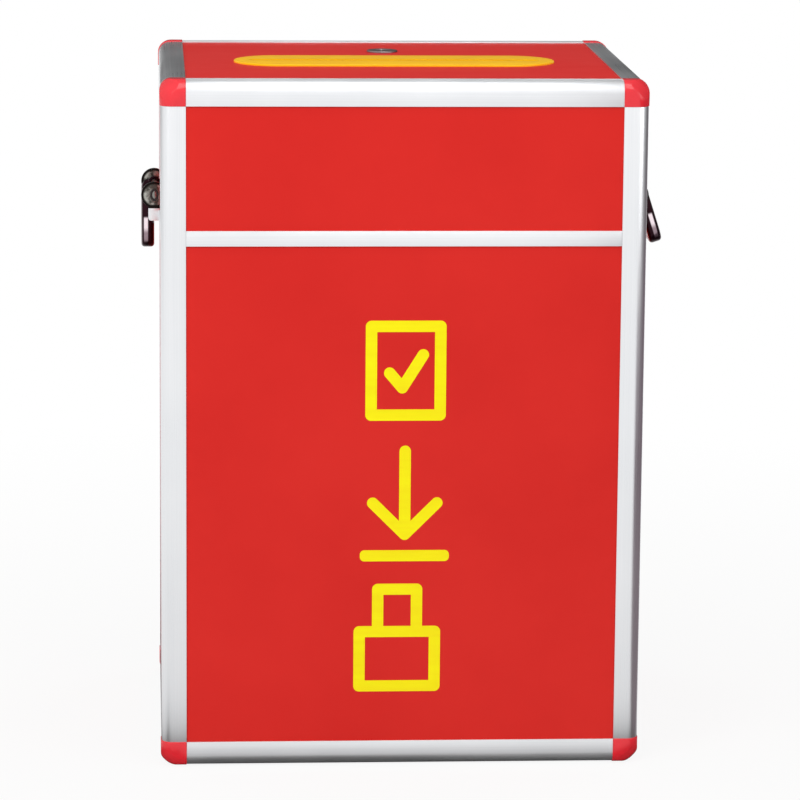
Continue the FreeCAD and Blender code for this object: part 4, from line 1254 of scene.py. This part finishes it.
@dataclass
class CamLock:
    """Cam lock with a flanged barrel and a plug, turned and plated, and the screw that holds its cam."""

    name: str
    body: str
    plug_body: str
    origin: Point
    axes: tuple[Vector, Vector]
    depth: float
    clip_level: float = 5.0
    clip_thickness: float = 1.55
    clip_seat: float = 8.0
    bezel: float = 14.0
    bezel_height: float = 1.8
    bezel_rounding: float = 0.9
    lip: float = 1.2
    step: float = 0.35
    barrel: float = 9.4
    barrel_break: float = 0.15
    bore: float = 7.05
    plug: float = 7.0
    plug_inset: float = 0.2
    plug_rounding: float = 0.4
    plug_break: float = 0.12
    stub: float = 7.0
    cam_thickness: float = 2.0
    key_length: float = 8.5
    key_width: float = 1.9
    key_depth: float = 6.0
    screw: float = 3.3
    screw_height: float = 1.5
    screw_rounding: float = 0.9
    recess: Place = (1.9, 0.35)
    recess_depth: float = 0.7
    sides: int = 96
    break_angle: float = 50.0
    beyond: float = 1.0

    def build_barrel(self) -> None:
        """Turn the barrel: tube, flange with a rounded rim, and the two notches of its clip."""
        barrel = new_rod(self.barrel, -self.depth, 0, (0, 0), sides=self.sides)
        rim = self.bezel / self.barrel
        with editing(barrel):
            pick(barrel, Element.FACE, lambda spot, way: way.z > ALONG)
            bpy.ops.mesh.extrude_region_move()
            bpy.ops.transform.resize(value=(rim, rim, 1))
            bpy.ops.mesh.extrude_region_move(TRANSFORM_OT_translate={"value": (0, 0, self.bezel_height)})
            bpy.ops.mesh.inset(thickness=self.bezel - self.plug - self.lip)
            bpy.ops.mesh.inset(thickness=self.step, depth=-self.step)
        round_edges(barrel, self.bezel_rounding, steps=5, wanted=lambda spot, way: self.at_rim(spot))
        cut(barrel, new_rod(self.bore, -self.depth - self.beyond, self.bezel_height + self.beyond, (0, 0),
                            sides=self.sides))
        low, high = -self.clip_level - self.clip_thickness, -self.clip_level
        for side in (-1, 1):
            across = sorted((side * self.clip_seat, side * (self.barrel + self.beyond)))
            cut(barrel, new_block((across[0], -self.barrel, low), (across[1], self.barrel, high)))
        soften(barrel, self.barrel_break, angle=self.break_angle)
        finish_piece(barrel, self.name + "_turned_barrel", self.body, LOCK_CHROME, (self.name + "_barrel",),
                     along(*self.axes, self.origin))

    def at_rim(self, spot: Vector) -> bool:
        """Whether a point lies on the flange's upper rim."""
        return spot.z > self.bezel_height - SKIM and math.hypot(spot.x, spot.y) > self.bezel - TOUCH

    def build_plug(self) -> None:
        """Turn the plug, broach its key slot and square its stub."""
        front = self.bezel_height - self.plug_inset
        plug = new_rod(self.plug, -self.depth, front, (0, 0), sides=self.sides)
        round_edges(plug, self.plug_rounding, steps=3, wanted=lambda spot, way: spot.z > front - SKIM)
        half = self.stub / 2
        weld(plug, new_block((-half, -half, -self.depth - self.cam_thickness),
                             (half, half, -self.depth + self.beyond)))
        slot_x, slot_y = self.key_width / 2, self.key_length / 2
        cut(plug, new_block((-slot_x, -slot_y, front - self.key_depth),
                            (slot_x, slot_y, front + self.beyond)))
        soften(plug, self.plug_break, angle=self.break_angle)
        finish_piece(plug, self.name + "_turned_plug", self.plug_body, LOCK_CHROME, (self.name + "_plug",),
                     along(*self.axes, self.origin))

    def build_screw(self) -> None:
        """Pan-head screw with a cross recess, in the end of the stub."""
        high = -self.depth - self.cam_thickness
        low = high - self.screw_height
        screw = new_rod(self.screw, low, high, (0, 0), sides=self.sides // 2)
        round_edges(screw, self.screw_rounding, steps=4, wanted=lambda spot, way: spot.z < low + TOUCH)
        for wide, deep in (self.recess, self.recess[::-1]):
            cut(screw, new_block((-wide, -deep, low - self.beyond), (wide, deep, low + self.recess_depth)))
        finish_piece(screw, self.name + "_cam_screw", self.plug_body, SCREW_ZINC, (),
                     along(*self.axes, self.origin))

    def build(self) -> None:
        """Build the lock's visible pieces."""
        self.build_barrel()
        self.build_plug()
        self.build_screw()


# The sides


@dataclass
class DropHandle:
    """One side's handle: a bright base bar, two ears with bushed pivot pins, and the plated bail."""

    side: str
    axes: tuple[Vector, Vector]
    wall_x: float
    lift: float
    bail_finish: Finish
    ear_finish: Finish
    level: float = 468.6
    length: float = 96.0
    base_depth: float = 4.6
    base_low: float = -3.0
    base_high: float = 7.0
    base_break: float = 0.4
    ear: float = 2.5
    ear_radius: float = 11.8
    ear_break: float = 0.5
    foot: float = 10.1
    foot_high: float = 8.0
    foot_rounding: float = 2.5
    pivot_out: float = 4.7
    pivot_up: float = 20.0
    pocket: Place = (3.9, 5.7)
    pocket_depth: float = 0.8
    bush: Place = (3.8, 5.6)
    bush_proud: float = 0.1
    bush_bore: Place = (2.1, 3.5)
    bush_break: float = 0.25
    pin: float = 2.5
    pin_clearance: float = 0.05
    pin_head: Place = (2.05, 3.45)
    pin_sunk: float = 0.05
    pin_break: float = 0.3
    screw: float = 3.2
    screw_spacing: float = 54.0
    screw_up: float = 2.0
    screw_proud: float = 0.35
    screw_break: float = 0.3
    recess: Place = (1.8, 0.35)
    recess_depth: float = 0.95
    gap: float = 0.5
    hub: float = 5.5
    hub_break: float = 0.5
    arm: float = 7.0
    inner: float = 4.9
    thickness: float = 11.6
    arm_top: float = 3.0
    drop_length: float = 48.4
    grip: float = 11.0
    bend: float = 12.0
    shoulder: float = 8.0
    soft_edge: float = 3.0
    sides: int = 48
    beyond: float = 2.0

    @property
    def place(self) -> Matrix:
        """Matrix from the handle's own frame, with X pointing out of the box, to the box's."""
        return along(*self.axes, (self.wall_x, 0, self.level))

    @property
    def pivot(self) -> Place:
        """X and Z of the pivot's axis in the handle's own frame."""
        return self.pivot_out, self.pivot_up

    def build_base(self) -> None:
        """Base bar with a foot at each end."""
        half, inner = self.length / 2, self.length / 2 - self.ear
        bar = new_block((0, -inner, self.base_low), (self.base_depth, inner, self.base_high))
        for side in (-1, 1):
            across = sorted((side * (inner - SKIM), side * half))
            foot = new_block((0, across[0], self.base_low), (self.foot, across[1], self.foot_high))
            outer, lower = self.foot - TOUCH, self.base_low + TOUCH
            round_edges(foot, self.foot_rounding, steps=6,
                        wanted=lambda spot, way: spot.x > outer and spot.z < lower)
            weld(bar, foot)
        soften(bar, self.base_break, steps=3)
        finish_piece(bar, self.side + "_handle_base", "root", LENGTHWISE, ("handle_brackets",), self.place)

    def build_ears(self) -> None:
        """The two ears, each a disc cut flat against the wall, with an oval bush round the pivot."""
        half, inner = self.length / 2, self.length / 2 - self.ear
        ears, bushes, pins = [], [], []
        for side in (-1, 1):
            faces = sorted((side * inner, side * half))
            ear = new_rod(self.ear_radius, faces[0], faces[1], self.pivot, Axis.Y, 2 * self.sides)
            weld(ear, new_block((0, faces[0], self.foot_high), (self.foot, faces[1], self.pivot_up)))
            cut(ear, new_block((-2 * self.ear_radius, -self.length, -self.ear_radius),
                               (0, self.length, self.pivot_up + 2 * self.ear_radius)))
            soften(ear, self.ear_break, steps=3)
            face, floor = side * half, side * (half - self.pocket_depth)
            cut(ear, self.oval(self.pocket, floor, face + side * self.beyond))
            ears.append(ear)
            bush = self.oval(self.bush, floor, face + side * self.bush_proud)
            cut(bush, self.oval(self.bush_bore, floor - side * self.beyond, face + side * self.beyond))
            soften(bush, self.bush_break)
            bushes.append(bush)
            head = self.oval(self.pin_head, floor, face - side * self.pin_sunk)
            soften(head, self.pin_break, steps=3)
            start = sorted((side * (inner - self.gap - self.arm), floor))
            pins += [head, new_rod(self.pin, start[0], start[1], self.pivot, Axis.Y, self.sides)]
        for pieces, name, finish, replaced in ((ears, "_handle_ears", self.ear_finish, ("handle_brackets",)),
                                               (bushes, "_pivot_bushes", BLACK_PLASTIC, ()),
                                               (pins, "_pivot_pins", PIN_NICKEL, ("handle_pivot_pins",))):
            finish_piece(gather(pieces), self.side + name, "root", finish, replaced, self.place)

    def oval(self, half: Place, start: float, end: float) -> Piece:
        """Upright oval plug on the pivot's axis.

        Args:
            half: Half of its width and half of its height.
            start: Level of one end along Y.
            end: Level of the other end.

        Returns:
            The new mesh object.
        """
        plug = new_rod(1.0, min(start, end), max(start, end), (0, 0), Axis.Y, self.sides)
        stretch = Matrix.Diagonal((half[0], 1.0, half[1], 1.0))
        plug.data.transform(Matrix.Translation((self.pivot_out, 0, self.pivot_up)) @ stretch)
        return plug

    def build_screws(self) -> None:
        """Countersunk screws of the base bar."""
        screws = []
        root, head = self.base_depth - self.beyond / 2, self.base_depth + self.screw_proud
        for across in (-self.screw_spacing / 2, self.screw_spacing / 2):
            screw = new_rod(self.screw, root, head, (across, self.screw_up), Axis.X, self.sides)
            round_edges(screw, self.screw_break, steps=3, wanted=lambda spot, way: spot.x > head - TOUCH / 2)
            for wide, tall in (self.recess, self.recess[::-1]):
                cut(screw, new_block((head - self.recess_depth, across - wide, self.screw_up - tall),
                                     (head + self.beyond, across + wide, self.screw_up + tall)))
            screws.append(screw)
        finish_piece(gather(screws), self.side + "_handle_screws", "root", SCREW_ZINC, (), self.place)

    def build_bail(self) -> None:
        """Forge the bail: a rounded bar bent to a U, with a hub at each end on the pivot pins."""
        half = self.length / 2 - self.ear - self.gap
        inner_half = half - self.arm
        near = self.inner - self.pivot_out
        far = near + self.thickness
        bottom, grip = -self.drop_length, self.grip - self.drop_length
        bail = new_block((near, -half, bottom), (far, half, self.arm_top))
        round_edges(bail, self.bend, steps=14,
                    wanted=lambda spot, way: spot.z < bottom + TOUCH and abs(way.x) > ALONG)
        opening = new_block((near - self.beyond, -inner_half, grip),
                            (far + self.beyond, inner_half, self.arm_top + self.beyond))
        round_edges(opening, self.bend - self.arm, steps=8,
                    wanted=lambda spot, way: spot.z < grip + TOUCH and abs(way.x) > ALONG)
        cut(bail, opening)
        outer, top = far - TOUCH, self.arm_top - TOUCH
        round_edges(bail, self.shoulder, steps=10,
                    wanted=lambda spot, way: spot.x > outer and spot.z > top and abs(way.y) > ALONG)
        soften(bail, self.soft_edge, steps=5)
        for side in (-1, 1):
            ends = sorted((side * inner_half, side * half))
            hub = new_rod(self.hub, ends[0], ends[1], (0, 0), Axis.Y, sides=64)
            soften(hub, self.hub_break, steps=3)
            weld(bail, hub)
        end = half + self.beyond
        cut(bail, new_rod(self.pin + self.pin_clearance, -end, end, (0, 0), Axis.Y, self.sides))
        pivot = Matrix.Translation((self.pivot_out, 0, self.pivot_up))
        swing = Matrix.Rotation(math.radians(-self.lift), 4, "Y")
        node = self.side + "_handle_bail"
        finish_piece(bail, "plated_" + node, self.side + "_bail", self.bail_finish, (node,),
                     self.place @ pivot @ swing)

    def build(self) -> None:
        """Build the handle."""
        self.build_base()
        self.build_ears()
        self.build_screws()
        self.build_bail()


# The rear


@dataclass
class PianoHinge:
    """Continuous hinge: two leaves with many rolled knuckles round one pin, and their rivets."""

    axis_x: float = 187.0
    axis_y: float = 183.2
    low: float = 44.6
    high: float = 439.9
    knuckles: int = 25
    radius: float = 2.6
    bore: float = 1.36
    sides: int = 40
    gap: float = 0.4
    knuckle_break: float = 0.15
    break_angle: float = 50.0
    leaf: float = 1.2
    leaf_break: float = 0.25
    clear: float = 3.0
    overlap: float = 0.5
    frame_face: float = 180.0
    frame_far: float = 11.0
    frame_row: float = 7.5
    door_face: float = 181.3
    door_far: float = 12.0
    door_row: float = 8.0
    rivets: int = 9
    rivet_radius: float = 2.0
    rivet_height: float = 1.0
    rivet_rounding: float = 0.8
    rivet_sunk: float = 0.2
    rivet_margin: float = 15.0

    @property
    def pitch(self) -> float:
        """Length of one knuckle with its gap."""
        return (self.high - self.low) / self.knuckles

    def build_leaf(self, node: str, body: str, first: int, side: int, face: float, far: float) -> None:
        """One leaf with every second knuckle.

        Args:
            node: CAD node that it stands for.
            body: Body that it rides on.
            first: Number of its first knuckle.
            side: 1 for the leaf to the right of the pin, -1 for the left one.
            face: Y of its face against the box.
            far: Distance of its free edge from the pin.
        """
        edges = sorted((self.axis_x + side * self.clear, self.axis_x + side * far))
        leaf = new_block((edges[0], face, self.low), (edges[1], face + self.leaf, self.high))
        soften(leaf, self.leaf_break)
        length, pin = self.pitch - self.gap, (self.axis_x, self.axis_y)
        knuckle = new_rod(self.radius, 0, length, pin, sides=self.sides)
        root = sorted((self.axis_x, self.axis_x + side * (self.clear + self.overlap)))
        weld(knuckle, new_block((root[0], face, 0), (root[1], face + self.leaf, length)))
        cut(knuckle, new_rod(self.bore, -self.overlap, length + self.overlap, pin, sides=32))
        soften(knuckle, self.knuckle_break, angle=self.break_angle)
        pieces = [leaf]
        for number in range(first, self.knuckles, 2):
            pieces.append(copy_of(knuckle, (0, 0, self.low + number * self.pitch + self.gap / 2)))
        drop(knuckle)
        finish_piece(gather(pieces), "rolled_" + node, body, HINGE_STEEL, (node,))

    def build_rivets(self, name: str, body: str, across: float, face: float) -> None:
        """Row of domed rivet heads on one leaf.

        Args:
            name: Name of the piece.
            body: Body that it rides on.
            across: X of the row.
            face: Y of the leaf's outer face.
        """
        top = face + self.rivet_height
        head = new_rod(self.rivet_radius, face - self.rivet_sunk, top, (across, 0), Axis.Y, sides=32)
        round_edges(head, self.rivet_rounding, steps=4, wanted=lambda spot, way: spot.y > top - SKIM)
        first = self.low + self.rivet_margin
        step = (self.high - self.rivet_margin - first) / (self.rivets - 1)
        heads = [copy_of(head, (0, 0, first + number * step)) for number in range(self.rivets)]
        drop(head)
        finish_piece(gather(heads), name, body, SCREW_ZINC)

    def build(self) -> None:
        """Build both leaves and their rivets."""
        self.build_leaf("hinge_frame_leaf", "root", 0, 1, self.frame_face, self.frame_far)
        self.build_leaf("hinge_door_leaf", "door", 1, -1, self.door_face, self.door_far)
        for name, body, row, face in (("frame_leaf_rivets", "root", self.frame_row, self.frame_face),
                                      ("door_leaf_rivets", "door", -self.door_row, self.door_face)):
            self.build_rivets(name, body, self.axis_x + row, face + self.leaf)


# The front's film shapes


@dataclass
class FrontSymbols:
    """Three plain yellow symbols of cut film on the lower front panel: a sheet with a tick, an arrow down
    into a slot, and a box with a sheet half in it. They are cut from a thick blank and then made film.

    Outlines are given as lowest X, highest X, lowest Z and highest Z, and strokes by the points they join.
    """

    face: float = -178.6
    film: float = 0.12
    sunk: float = 0.02
    blank: float = 2.0
    beyond: float = 1.0
    stroke: float = 10.0
    corner: float = 5.0
    sheet: Sides = (-33.0, 37.0, 309.0, 397.0)
    tick: tuple[Place, ...] = ((-12.0, 351.0), (-1.0, 338.0), (17.0, 367.0))
    shaft: tuple[Place, ...] = ((2.0, 282.0), (2.0, 208.0))
    barbs: tuple[Place, ...] = ((-26.0, 236.0), (2.0, 208.0), (30.0, 236.0))
    slot: Sides = (-37.0, 41.0, 184.0, 194.0)
    slot_corner: float = 4.0
    box: Sides = (-42.0, 34.0, 67.0, 126.0)
    half_sheet: Sides = (-26.0, 18.0, 96.0, 164.0)
    hidden: Sides = (-60.0, 60.0, 60.0, 121.0)

    def tool(self, sides: Sides) -> Piece:
        """Block that reaches through the blank.

        Args:
            sides: Its outline.

        Returns:
            The new mesh object.
        """
        left, right, low, high = sides
        return new_block((left, -self.beyond, low), (right, self.blank + self.beyond, high))

    def plate(self, sides: Sides, corner: float) -> Piece:
        """Rectangle with rounded corners.

        Args:
            sides: Its outline.
            corner: Radius of its corners.

        Returns:
            The new mesh object, as thick as the blank.
        """
        left, right, low, high = sides
        flat = new_block((left, 0, low), (right, self.blank, high))
        round_edges(flat, corner, steps=8, wanted=lambda spot, way: abs(way.y) > ALONG)
        return flat

    def hollow_plate(self, sides: Sides) -> Piece:
        """The same rectangle with its inside cut out, one stroke from its edge.

        Args:
            sides: Its outline.

        Returns:
            The new mesh object, as thick as the blank.
        """
        flat = self.plate(sides, self.corner)
        cut(flat, self.tool(tuple(side + way * self.stroke for side, way in zip(sides, (1, -1, 1, -1)))))
        return flat

    def strokes(self, points: tuple[Place, ...]) -> list[Piece]:
        """Straight strokes with round ends, from point to point.

        Args:
            points: X and Z of the middles of their ends.

        Returns:
            The new mesh objects, as thick as the blank.
        """
        half = self.stroke / 2
        bars = []
        for start, end in zip(points, points[1:]):
            run = Vector(end) - Vector(start)
            bar = new_block((-half, 0, -half), (run.length + half, self.blank, half))
            round_edges(bar, half - SKIM, steps=8, wanted=lambda spot, way: abs(way.y) > ALONG)
            turn = Matrix.Rotation(-math.atan2(run.y, run.x), 4, "Y")
            bar.data.transform(Matrix.Translation((start[0], 0, start[1])) @ turn)
            bars.append(bar)
        return bars

    def stick_on(self, name: str, flat: Piece, *others: Piece) -> None:
        """Weld the shapes of one symbol, bring them to the film's thickness and set them on the panel.

        Args:
            name: Name of the piece.
            flat: Its first shape.
            others: Its other shapes.
        """
        weld(flat, *others)
        flat.data.transform(Matrix.Diagonal((1.0, (self.film + self.sunk) / self.blank, 1.0, 1.0)))
        finish_piece(flat, name, "root", VINYL, (), Matrix.Translation((0, self.face - self.film, 0)))

    def build(self) -> None:
        """Build the three symbols from the top down."""
        self.stick_on("film_sheet_symbol", self.hollow_plate(self.sheet), *self.strokes(self.tick))
        self.stick_on("film_arrow_symbol", *self.strokes(self.shaft), *self.strokes(self.barbs),
                      self.plate(self.slot, self.slot_corner))
        half_sheet = self.hollow_plate(self.half_sheet)
        cut(half_sheet, self.tool(self.hidden))
        self.stick_on("film_box_symbol", self.hollow_plate(self.box), half_sheet)


# Studio


@dataclass(frozen=True)
class Softbox:
    """Square lamp aimed at the box: its place and the length of its side in metres, its power in watts, and
    whether its own shape shows in gloss."""

    name: str
    place: Point
    size: float
    power: float
    glossy: bool = True
    aim: Point = (0.0, 0.0, 0.3)

    def hang(self) -> None:
        """Add the lamp to the scene."""
        data = bpy.data.lights.new(self.name, "AREA")
        data.size = self.size
        data.energy = self.power
        lamp = bpy.data.objects.new(self.name, data)
        bpy.context.scene.collection.objects.link(lamp)
        lamp.location = self.place
        lamp.rotation_mode = "QUATERNION"
        lamp.rotation_quaternion = (Vector(self.aim) - Vector(self.place)).to_track_quat("-Z", "Y")
        lamp.visible_glossy = self.glossy


@dataclass
class Studio:
    """Pale floor, soft lamps, a plain world and the camera of the photograph.

    The camera is in millimetres and degrees, and all else in metres. A pair whose name ends in at holds the
    values at which the pair of the same name is reached.
    """

    camera_place: Point = (-221.0, -3674.0, 984.6)
    yaw: float = 3.57
    pitch: float = 10.63
    roll: float = -0.48
    focal_pixels: float = 4111.0
    frame_pixels: float = 800.0
    sensor: float = 36.0
    clip: Place = (0.05, 100.0)
    lamps: tuple[Softbox, ...] = (
        Softbox("overhead_softbox", (0.1, -1.0, 2.3), 1.6, 18.0),
        Softbox("key_softbox", (-1.5, -2.1, 1.9), 1.4, 36.0, glossy=False),
        Softbox("sparkle_softbox", (-1.5, -2.1, 1.9), 0.4, 3.5),
        Softbox("fill_softbox", (2.2, -1.8, 1.5), 1.4, 9.0),
        Softbox("rear_left_softbox", (-2.0, 1.9, 1.2), 1.4, 20.0, glossy=False),
        Softbox("rear_right_softbox", (2.0, 1.9, 1.2), 1.4, 20.0, glossy=False))
    white: str = "FFFFFF"
    bright_way: Point = (-0.45, -0.85, 0.3)
    gloss: Place = (0.11, 0.95)
    gloss_at: Place = (-0.7, 0.6)
    plain_light: float = 0.34
    floor_size: float = 80.0
    paper: str = "DADAD8"
    cleared: Place = (0.9, 1.0)
    cleared_at: Place = (0.3, 1.4)
    half_footprint: Point = (0.21, 0.18, 1.0)
    near_scale: float = 0.1
    near_stops: Stops = ((0.112, "242424"), (0.124, "CCCCCC"), (0.15, "ECECEC"), (0.3, "F4F4F4"),
                         (1.0, "FAFAFA"))
    right_corner: Point = (0.23, -0.18, 0.0)
    right_stops: Stops = ((0.44, "FFFFFF"), (0.57, "776970"))

    def build_camera(self) -> None:
        """Set the camera where the photograph was taken from."""
        data = bpy.data.cameras.new("camera")
        data.sensor_width = self.sensor
        data.lens = self.focal_pixels * self.sensor / self.frame_pixels
        data.clip_start, data.clip_end = self.clip
        camera = bpy.data.objects.new("camera", data)
        bpy.context.scene.collection.objects.link(camera)
        yaw, pitch, roll = (math.radians(angle) for angle in (self.yaw, self.pitch, self.roll))
        forward = Vector((math.sin(yaw) * math.cos(pitch), math.cos(yaw) * math.cos(pitch), -math.sin(pitch)))
        level = Vector((math.cos(yaw), -math.sin(yaw), 0))
        down = forward.cross(level)
        right = math.cos(roll) * level + math.sin(roll) * down
        up = math.sin(roll) * level - math.cos(roll) * down
        turn = Matrix((right, up, -forward)).transposed().to_4x4()
        camera.matrix_world = Matrix.Translation(Vector(self.camera_place) * MILLIMETRE) @ turn
        bpy.context.scene.camera = camera

    def build_lamps(self) -> None:
        """Hang the softboxes: one overhead, two at the upper left front, one at the right, two behind."""
        for lamp in self.lamps:
            lamp.hang()

    def build_world(self) -> None:
        """Plain world: an even light, whose gloss is white at the left front and falls to grey at the right
        rear, and which the camera sees white."""
        world = bpy.data.worlds.new("studio")
        bpy.context.scene.world = world
        world.use_nodes = True
        tree = world.node_tree
        tree.nodes.clear()
        path = add_node(tree, "LightPath")
        place = add_node(tree, "TexCoord")
        facing = add_node(tree, "VectorMath", {"operation": "DOT_PRODUCT", "1": self.bright_way},
                          {"0": place.outputs["Generated"]})
        start, end = self.gloss_at
        least, most = self.gloss
        gloss = add_node(tree, "MapRange",
                         {"From Min": start, "From Max": end, "To Min": least, "To Max": most},
                         {"Value": facing.outputs["Value"]})
        lit = add_node(tree, "Mix", {"data_type": "FLOAT", "2": self.plain_light},
                       {"0": path.outputs["Is Glossy Ray"], "3": gloss.outputs["Result"]})
        seen = add_node(tree, "Mix", {"data_type": "FLOAT", "3": 1.0},
                        {"0": path.outputs["Is Camera Ray"], "2": lit.outputs[0]})
        light = add_node(tree, "Background", {"Color": linear(self.white)}, {"Strength": seen.outputs[0]})
        add_node(tree, "OutputWorld", None, {"Surface": light.outputs[0]})

    def floor_in_gloss(self, tree: Tree, place: Socket) -> Socket:
        """What the floor shows in gloss: it is darker close to the box and to its right, where the lamps
        light it less.

        Args:
            tree: Node tree of the floor.
            place: Object coordinates.

        Returns:
            The colour.
        """
        sides = add_node(tree, "VectorMath", {"operation": "ABSOLUTE"}, {"0": place})
        shares = add_node(tree, "VectorMath", {"operation": "DIVIDE", "1": self.half_footprint},
                          {"0": sides.outputs["Vector"]})
        parts = add_node(tree, "SeparateXYZ", None, {"Vector": shares.outputs["Vector"]})
        outline = add_node(tree, "Math", {"operation": "MAXIMUM"},
                           {"0": parts.outputs["X"], "1": parts.outputs["Y"]})
        scaled = add_node(tree, "Math", {"operation": "MULTIPLY", "1": self.near_scale},
                          {"0": outline.outputs[0]})
        near = add_node(tree, "ValToRGB", {"stops": self.near_stops}, {"Fac": scaled.outputs[0]})
        away = add_node(tree, "VectorMath", {"operation": "SUBTRACT", "1": self.right_corner}, {"0": place})
        bearing = add_node(tree, "VectorMath", {"operation": "NORMALIZE"}, {"0": away.outputs["Vector"]})
        aside = add_node(tree, "SeparateXYZ", None, {"Vector": bearing.outputs["Vector"]})
        right = add_node(tree, "ValToRGB", {"stops": self.right_stops}, {"Fac": aside.outputs["X"]})
        return add_node(tree, "Mix", {"data_type": "RGBA", "blend_type": "MULTIPLY", "0": 1.0},
                        {"6": near.outputs["Color"], "7": right.outputs["Color"]}).outputs[2]

    def lay_floor(self, tree: Tree, place: Socket) -> None:
        """Paper that keeps the box's shadow, and is white to the camera away from the box.

        Args:
            tree: Node tree of the floor.
            place: Object coordinates.
        """
        path = add_node(tree, "LightPath")
        middle = add_node(tree, "VectorMath", {"operation": "LENGTH"}, {"0": place})
        start, end = self.cleared_at
        least, most = self.cleared
        clear = add_node(tree, "MapRange",
                         {"From Min": start, "From Max": end, "To Min": least, "To Max": most},
                         {"Value": middle.outputs["Value"]})
        colour = add_node(tree, "Mix", {"data_type": "RGBA", "6": linear(self.white)},
                          {"0": path.outputs["Is Glossy Ray"], "7": self.floor_in_gloss(tree, place)})
        seen = add_node(tree, "Math", {"operation": "ADD"},
                        {"0": path.outputs["Is Camera Ray"], "1": path.outputs["Is Glossy Ray"]})
        through = add_node(tree, "Math", {"operation": "ADD", "use_clamp": True},
                           {"0": seen.outputs[0], "1": path.outputs["Is Transmission Ray"]})
        share = add_node(tree, "Math", {"operation": "MULTIPLY"},
                         {"0": through.outputs[0], "1": clear.outputs["Result"]})
        paper = add_node(tree, "BsdfDiffuse", {"Color": linear(self.paper)})
        white = add_node(tree, "Emission", {"Strength": 1.0}, {"Color": colour.outputs[2]})
        mixed = add_node(tree, "MixShader", None,
                         {"0": share.outputs[0], "1": paper.outputs[0], "2": white.outputs[0]})
        add_node(tree, "OutputMaterial", None, {"Surface": mixed.outputs[0]})

    def build_floor(self) -> None:
        """White floor, out to the horizon."""
        deselect_all()
        bpy.ops.mesh.primitive_plane_add(size=self.floor_size)
        floor = bpy.context.object
        floor.name = "studio_floor"
        material, tree = blank_material("white_paper_floor")
        self.lay_floor(tree, add_node(tree, "TexCoord").outputs["Object"])
        floor.data.materials.append(material)

    def build(self) -> None:
        """Set up the studio."""
        self.build_camera()
        self.build_lamps()
        self.build_world()
        self.build_floor()
        bpy.context.scene.view_settings.view_transform = "Standard"


def main() -> None:
    """Build the dressed ballot box, sub-assembly by sub-assembly."""
    logging.basicConfig(level=logging.INFO, format="%(name)s: %(message)s")
    BoxFrame().build()
    CarriedNodes().build()
    SlotPlate().build()
    CamLock("top_lock", body="root", plug_body="top_lock", origin=(-6.0, 80.0, 603.2), axes=(X, Y),
            depth=12.0).build()
    CamLock("door_lock", body="door", plug_body="door_lock", origin=(-151.0, 179.9, 242.25), axes=FACING_REAR,
            depth=18.0).build()
    DropHandle("left", TURNED_BACK, wall_x=-210.0, lift=0.0, bail_finish=LEFT_BAIL,
               ear_finish=LEFT_EAR).build()
    DropHandle("right", (X, Y), wall_x=210.0, lift=18.0, bail_finish=RIGHT_BAIL,
               ear_finish=RIGHT_EAR).build()
    PianoHinge().build()
    FrontSymbols().build()
    Studio().build()


if __name__ == "__main__":
    main()
